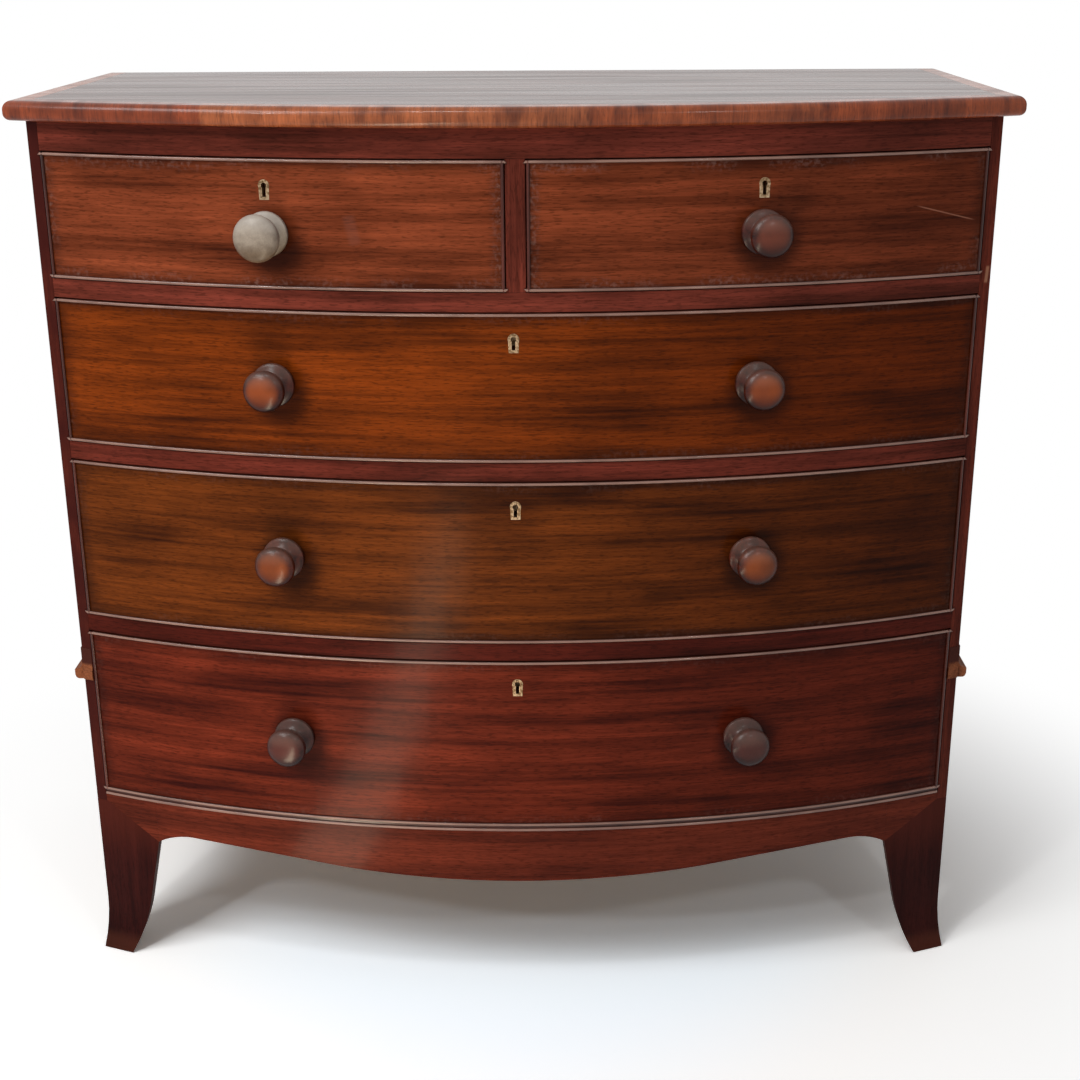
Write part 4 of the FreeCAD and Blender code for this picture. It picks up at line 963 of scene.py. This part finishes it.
class CHEST_OT_knobs(bpy.types.Operator):
    """Turns the knobs and sets them square to the bow"""

    bl_idname = "chest.knobs"
    bl_label = "Knobs"

    def execute(self, context):
        s = sizes()
        # Turned mahogany, worn by hands for years: nearly black in the hollows, red and shiny on the swell,
        # where the red is worn polish and partly a painted highlight.
        face_wear_and_highlight_from, face_wear_and_highlight_to = s.bow_radius + 0.037, s.bow_radius + 0.0415
        tones = {
            # drawer: light, dark, face tone (worn polish and painted highlight)
            "short_right": ("4E2018", "160706", "743A28"),
            "upper": ("4A1C12", "140605", "98481C"),
            "middle": ("562010", "160705", "8E4416"),
            "lower": ("421C18", "140807", "542820"),
        }

        def knob_shade_and_highlight(drawer, under_shade, upper_highlight, cover):
            """Painted shade darkening the lower half of a knob's head, and a pale painted highlight on its
            upper half.
            """
            height = knob_places(drawer)[0][1]
            return [
                fading("Z", height + 0.001, height - 0.018, under_shade, 0.9, "MULTIPLY"),
                fading("Z", height + 0.001, height + 0.016, upper_highlight, cover),
            ]

        # Each turned knob gets painted shade on its lower half and a faint painted highlight on its upper
        # half.
        turned = {
            drawer: wood(
                f"Mahogany knob, turned, {drawer.replace('_', ' ')} drawer", light, dark, "Y", 81.0,
                figure=(26.0, 9.0), gloss=0.04, coat=0.36, coat_rough=0.26, rough=0.35, fleck=0.1,
                bump=0.04,
                marks=[nose_wear_and_highlight(face, face_wear_and_highlight_from, face_wear_and_highlight_to, 0.8), *knob_shade_and_highlight(drawer, "8A6A58", "B8988A", 0.12)],
            )
            for drawer, (light, dark, face) in tones.items()
        }
        # A replacement knob of pale wood under thin grey wax, with painted shade on its lower half and a
        # painted highlight on its upper half.
        odd_drawer = "short_left"
        odd = wood("Beech knob, turned and waxed", "A69A8C", "7A6C60", "Y", 83.0, figure=(60.0, 24.0),
                   gloss=0.1, coat=0.3, coat_rough=0.3, rough=0.4, fleck=0.12, bump=0.04,
                   marks=knob_shade_and_highlight(odd_drawer, "A8937A", "C2BAB0", 0.4))
        for drawer in DRAWERS:
            whole = bmesh.new()
            head = s.odd_knob_head if drawer == odd_drawer else s.knob_head
            for x, z in knob_places(drawer):
                bm = bmesh.new()
                verts = [bm.verts.new((radius, -out, 0)) for radius, out in knob_profile(head)]
                edges = [bm.edges.new(pair) for pair in zip(verts, verts[1:])]
                bmesh.ops.spin(
                    bm, geom=verts + edges, cent=(0, 0, 0), axis=(0, 1, 0), angle=2 * math.pi, steps=56,
                    use_merge=True,
                )
                bmesh.ops.remove_doubles(bm, verts=bm.verts[:], dist=SAME_POINT)
                set_on_bow(bm, x, z)
                join_into(whole, bm)
            body = f"drawer_{drawer}"
            node = f"{body}_knob" if drawer in SHORT_DRAWERS else f"{body}_knobs"
            material = turned.get(drawer, odd)
            add_piece(f"{node}_turned", whole, material, body, [node], smooth=50.0)
        return {"FINISHED"}


def keyhole_outline(wall):
    """A keyhole's outline, grown by the width of a wall, as (across, up) from its middle."""
    s = sizes()
    radius = s.keyhole_radius + wall
    half = s.keyhole_slot / 2 + wall
    foot = -s.keyhole_height / 2 - wall
    head = s.keyhole_height / 2 - s.keyhole_radius
    start = -math.degrees(math.acos(min(half / radius, 1.0)))
    corner = max(wall, 0.0004)
    outline = rounded_corner((corner - half, foot + corner), corner, 180, 270, 5)
    outline += rounded_corner((half - corner, foot + corner), corner, 270, 360, 5)
    outline += rounded_corner((0.0, head), radius, start, 180 - start, 20)
    return outline


class CHEST_OT_locks(bpy.types.Operator):
    """Lets in the brass keyhole threads, and colours the lock cases and their bolts"""

    bl_idname = "chest.locks"
    bl_label = "Locks"

    def execute(self, context):
        s = sizes()
        brass = metal("Brass, cast and tarnished", "B89C7C", "7A6044", 0.45)
        steel = metal("Iron, filed and greyed", "8A857E", "4A443E", 0.45)
        thread_depth, thread_arris, proud = 0.006, 0.0003, 0.0003
        for drawer in DRAWERS:
            low, high = node_box(f"drawer_{drawer}_front")
            bm = bmesh.new()
            rims = []
            for wall in (s.escutcheon_wall, 0.0):
                verts = [bm.verts.new((across, 0, up)) for across, up in keyhole_outline(wall)]
                rims += [bm.edges.new(pair) for pair in zip(verts, verts[1:] + verts[:1])]
            bmesh.ops.bridge_loops(bm, edges=rims)
            draw_out(bm, bm.faces[:], (0, thread_depth, 0))
            bmesh.ops.recalc_face_normals(bm, faces=bm.faces[:])
            bevel_sharp(bm, thread_arris, angle=60.0)
            set_on_bow(bm, (low.x + high.x) / 2, high.z - s.keyhole_drop, proud)
            add_piece(f"drawer_{drawer}_keyhole_thread", bm, brass, f"drawer_{drawer}")
            for node, cast in ((f"drawer_{drawer}_lock", brass), (f"drawer_{drawer}_lock_bolt", steel)):
                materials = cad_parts[node].data.materials
                materials.clear()
                materials.append(cast)
        return {"FINISHED"}


class CHEST_OT_drawer_boxes(bpy.types.Operator):
    """Finishes the dovetailed sides, the backs and the bottoms of the drawers"""

    bl_idname = "chest.drawer_boxes"
    bl_label = "Drawer boxes"

    def execute(self, context):
        # Quartered oak, planed and unpolished: straw brown. The grain runs along each board.
        sides, across = (
            wood(f"Oak drawer {name}, planed", "B08B5E", "86643E", axis, offset, rough=0.7, fleck=0.35,
                 gloss=0.2, coat=0.0)
            for name, axis, offset in (("side", "Y", 91.0), ("board", "X", 93.0))
        )
        for drawer in DRAWERS:
            body = f"drawer_{drawer}"
            for part, oak in (("sides", sides), ("back", across), ("bottom", across)):
                eased_copy(f"{body}_{part}", oak, body)
        return {"FINISHED"}


# ------------------------------------------------------------------ the stage
def seen_rays(tree):
    """1 for rays that come from the camera, also by way of a mirror or glass, and 0 for the others."""
    paths = add(tree, "ShaderNodeLightPath").outputs
    turned = maths(tree, "MAXIMUM", paths["Is Glossy Ray"], paths["Is Transmission Ray"])
    return maths(tree, "MAXIMUM", paths["Is Camera Ray"], turned)


class CHEST_OT_stage(bpy.types.Operator):
    """Lays the pale floor, hangs the soft lamps and sets up the camera"""

    bl_idname = "chest.stage"
    bl_label = "Stage"

    def execute(self, context):
        scene = context.scene
        scene.view_settings.view_transform = "Standard"
        stage = scene.chest_stage
        self.lay_floor(stage)
        self.light_world(scene)
        self.hang_lamps(scene)
        self.set_camera(scene, stage)
        return {"FINISHED"}

    def lay_floor(self, stage):
        """A matt white floor that melts into the white of the room."""
        half, drop = 12.0, 0.0005
        bm = bmesh.new()
        bmesh.ops.create_grid(bm, x_segments=4, y_segments=4, size=half)
        mesh = bpy.data.meshes.new("floor")
        bm.to_mesh(mesh)
        bm.free()
        floor = bpy.data.objects.new("floor", mesh)
        bpy.context.scene.collection.objects.link(floor)
        floor.location.z = -drop

        material = bpy.data.materials.new("Studio floor, matt white")
        tree = empty_tree(material)
        seen = seen_rays(tree)
        lit = ranged(tree, seen, 0.0, 1.0, 0.8, stage.floor_white)
        where = add(tree, "ShaderNodeNewGeometry").outputs["Position"]
        away = add(tree, "ShaderNodeVectorMath", {0: where}, operation="LENGTH").outputs["Value"]
        # Under the chest the floor is printed a little cooler, against the red that the wood throws on it.
        under, clear = 0.3, 0.55
        red = maths(tree, "MULTIPLY", lit, ranged(tree, away, under, clear, 0.93, 1.0))
        blue = maths(tree, "MULTIPLY", lit, ranged(tree, away, under, clear, 1.06, 0.99))
        tint = add(tree, "ShaderNodeCombineColor", {0: red, 1: lit, 2: blue}).outputs[0]
        near = add(tree, "ShaderNodeBsdfDiffuse", {"Color": tint})
        # Further out the floor only glows, so that it ends in no line.
        glow_from, glow_to = 0.45, 1.1
        white = add(tree, "ShaderNodeEmission", {"Color": (1, 1, 1, 1), "Strength": 1.0})
        far = maths(tree, "MULTIPLY", seen, ranged(tree, away, glow_from, glow_to))
        both = add(tree, "ShaderNodeMixShader", {0: far, 1: near.outputs[0], 2: white.outputs[0]})
        add(tree, "ShaderNodeOutputMaterial", {"Surface": both.outputs[0]})
        mesh.materials.append(material)

    def light_world(self, scene):
        """White walls, which light the chest less than they show."""
        world = bpy.data.worlds.new("Studio")
        scene.world = world
        tree = empty_tree(world)
        strength = ranged(tree, seen_rays(tree), 0.0, 1.0, 0.28, 1.0)
        background = add(tree, "ShaderNodeBackground", {"Color": (1, 1, 1, 1), "Strength": strength})
        add(tree, "ShaderNodeOutputWorld", {"Surface": background.outputs[0]})

    def hang_lamps(self, scene):
        """Soft lamps in front of the chest, the strongest high on the left."""
        lamps = {
            # name: place, size, power, what it points at, colour
            "key": ((-1.9, -1.7, 3.0), (1.8, 1.2), 58.0, (0.0, -0.2, 0.4), (1.0, 1.0, 1.0)),
            "left": ((-1.7, -2.5, 2.3), (0.2, 0.2), 9.0, (0.0, -0.2, 0.5), (1.0, 1.0, 1.0)),
            "right": ((1.2, -2.6, 2.4), (0.2, 0.2), 5.0, (0.0, -0.2, 0.5), (1.0, 1.0, 1.0)),
            "ceiling": ((-0.4, -1.3, 3.0), (0.3, 0.3), 7.0, (0.0, -0.2, 0.5), (1.0, 1.0, 1.0)),
            # A strip of light lying on the floor, which the lower drawers mirror as a soft upright band.
            "strip": ((-0.36, -1.20, 0.01), (0.14, 1.5), 9.0, (-0.36, -1.20, 1.0), (1.0, 0.84, 0.62)),
        }
        for name, (place, size, power, aim, tint) in lamps.items():
            data = bpy.data.lights.new(name, "AREA")
            data.shape = "RECTANGLE"
            data.size, data.size_y = size
            data.energy = power
            data.color = tint
            lamp = bpy.data.objects.new(name, data)
            lamp.location = place
            lamp.rotation_euler = (Vector(aim) - Vector(place)).to_track_quat("-Z", "Y").to_euler()
            lamp.visible_camera = False
            scene.collection.objects.link(lamp)

    def set_camera(self, scene, stage):
        """Stands the camera before the chest, a little above its top, and turns it down to it."""
        pitch, yaw, roll = stage.pitch, stage.yaw, stage.roll
        ahead = Vector((math.sin(yaw) * math.cos(pitch), math.cos(yaw) * math.cos(pitch), -math.sin(pitch)))
        level = Vector((math.cos(yaw), -math.sin(yaw), 0))
        above = level.cross(ahead)
        right = level * math.cos(roll) + above * math.sin(roll)
        up = above * math.cos(roll) - level * math.sin(roll)
        data = bpy.data.cameras.new("camera")
        data.sensor_fit = "HORIZONTAL"
        data.lens = data.sensor_width * stage.focal_length
        data.shift_x = (PICTURE_WIDTH / 2 - PICTURE_MIDDLE) / PICTURE_WIDTH
        camera = bpy.data.objects.new("camera", data)
        place = Matrix.Translation((stage.camera_x, stage.camera_y, stage.camera_z))
        camera.matrix_world = place @ Matrix((right, up, -ahead)).transposed().to_4x4()
        scene.collection.objects.link(camera)
        scene.camera = camera


class CHEST_PT_sidebar(bpy.types.Panel):
    """Lists the steps that dress the chest"""

    bl_idname = "CHEST_PT_sidebar"
    bl_label = "Chest of drawers"
    bl_space_type = "VIEW_3D"
    bl_region_type = "UI"
    bl_category = "Chest"

    def draw(self, context):
        for step in OPERATORS:
            self.layout.operator(step.bl_idname)


GROUPS = (ChestSizes, ChestFinish, ChestStage)
OPERATORS = (
    CHEST_OT_case,
    CHEST_OT_top,
    CHEST_OT_base,
    CHEST_OT_side_mouldings,
    CHEST_OT_drawer_fronts,
    CHEST_OT_cockbeads,
    CHEST_OT_knobs,
    CHEST_OT_locks,
    CHEST_OT_drawer_boxes,
    CHEST_OT_stage,
)
PANELS = (CHEST_PT_sidebar,)


def register():
    for item in GROUPS + OPERATORS + PANELS:
        bpy.utils.register_class(item)
    bpy.types.Scene.chest_sizes = bpy.props.PointerProperty(type=ChestSizes)
    bpy.types.Scene.chest_finish = bpy.props.PointerProperty(type=ChestFinish)
    bpy.types.Scene.chest_stage = bpy.props.PointerProperty(type=ChestStage)


def unregister():
    del bpy.types.Scene.chest_stage
    del bpy.types.Scene.chest_finish
    del bpy.types.Scene.chest_sizes
    for item in reversed(GROUPS + OPERATORS + PANELS):
        bpy.utils.unregister_class(item)


def main():
    """Dresses the chest."""
    register()
    for step in OPERATORS:
        space, name = step.bl_idname.split(".")
        getattr(getattr(bpy.ops, space), name)()


if __name__ == "__main__":
    main()
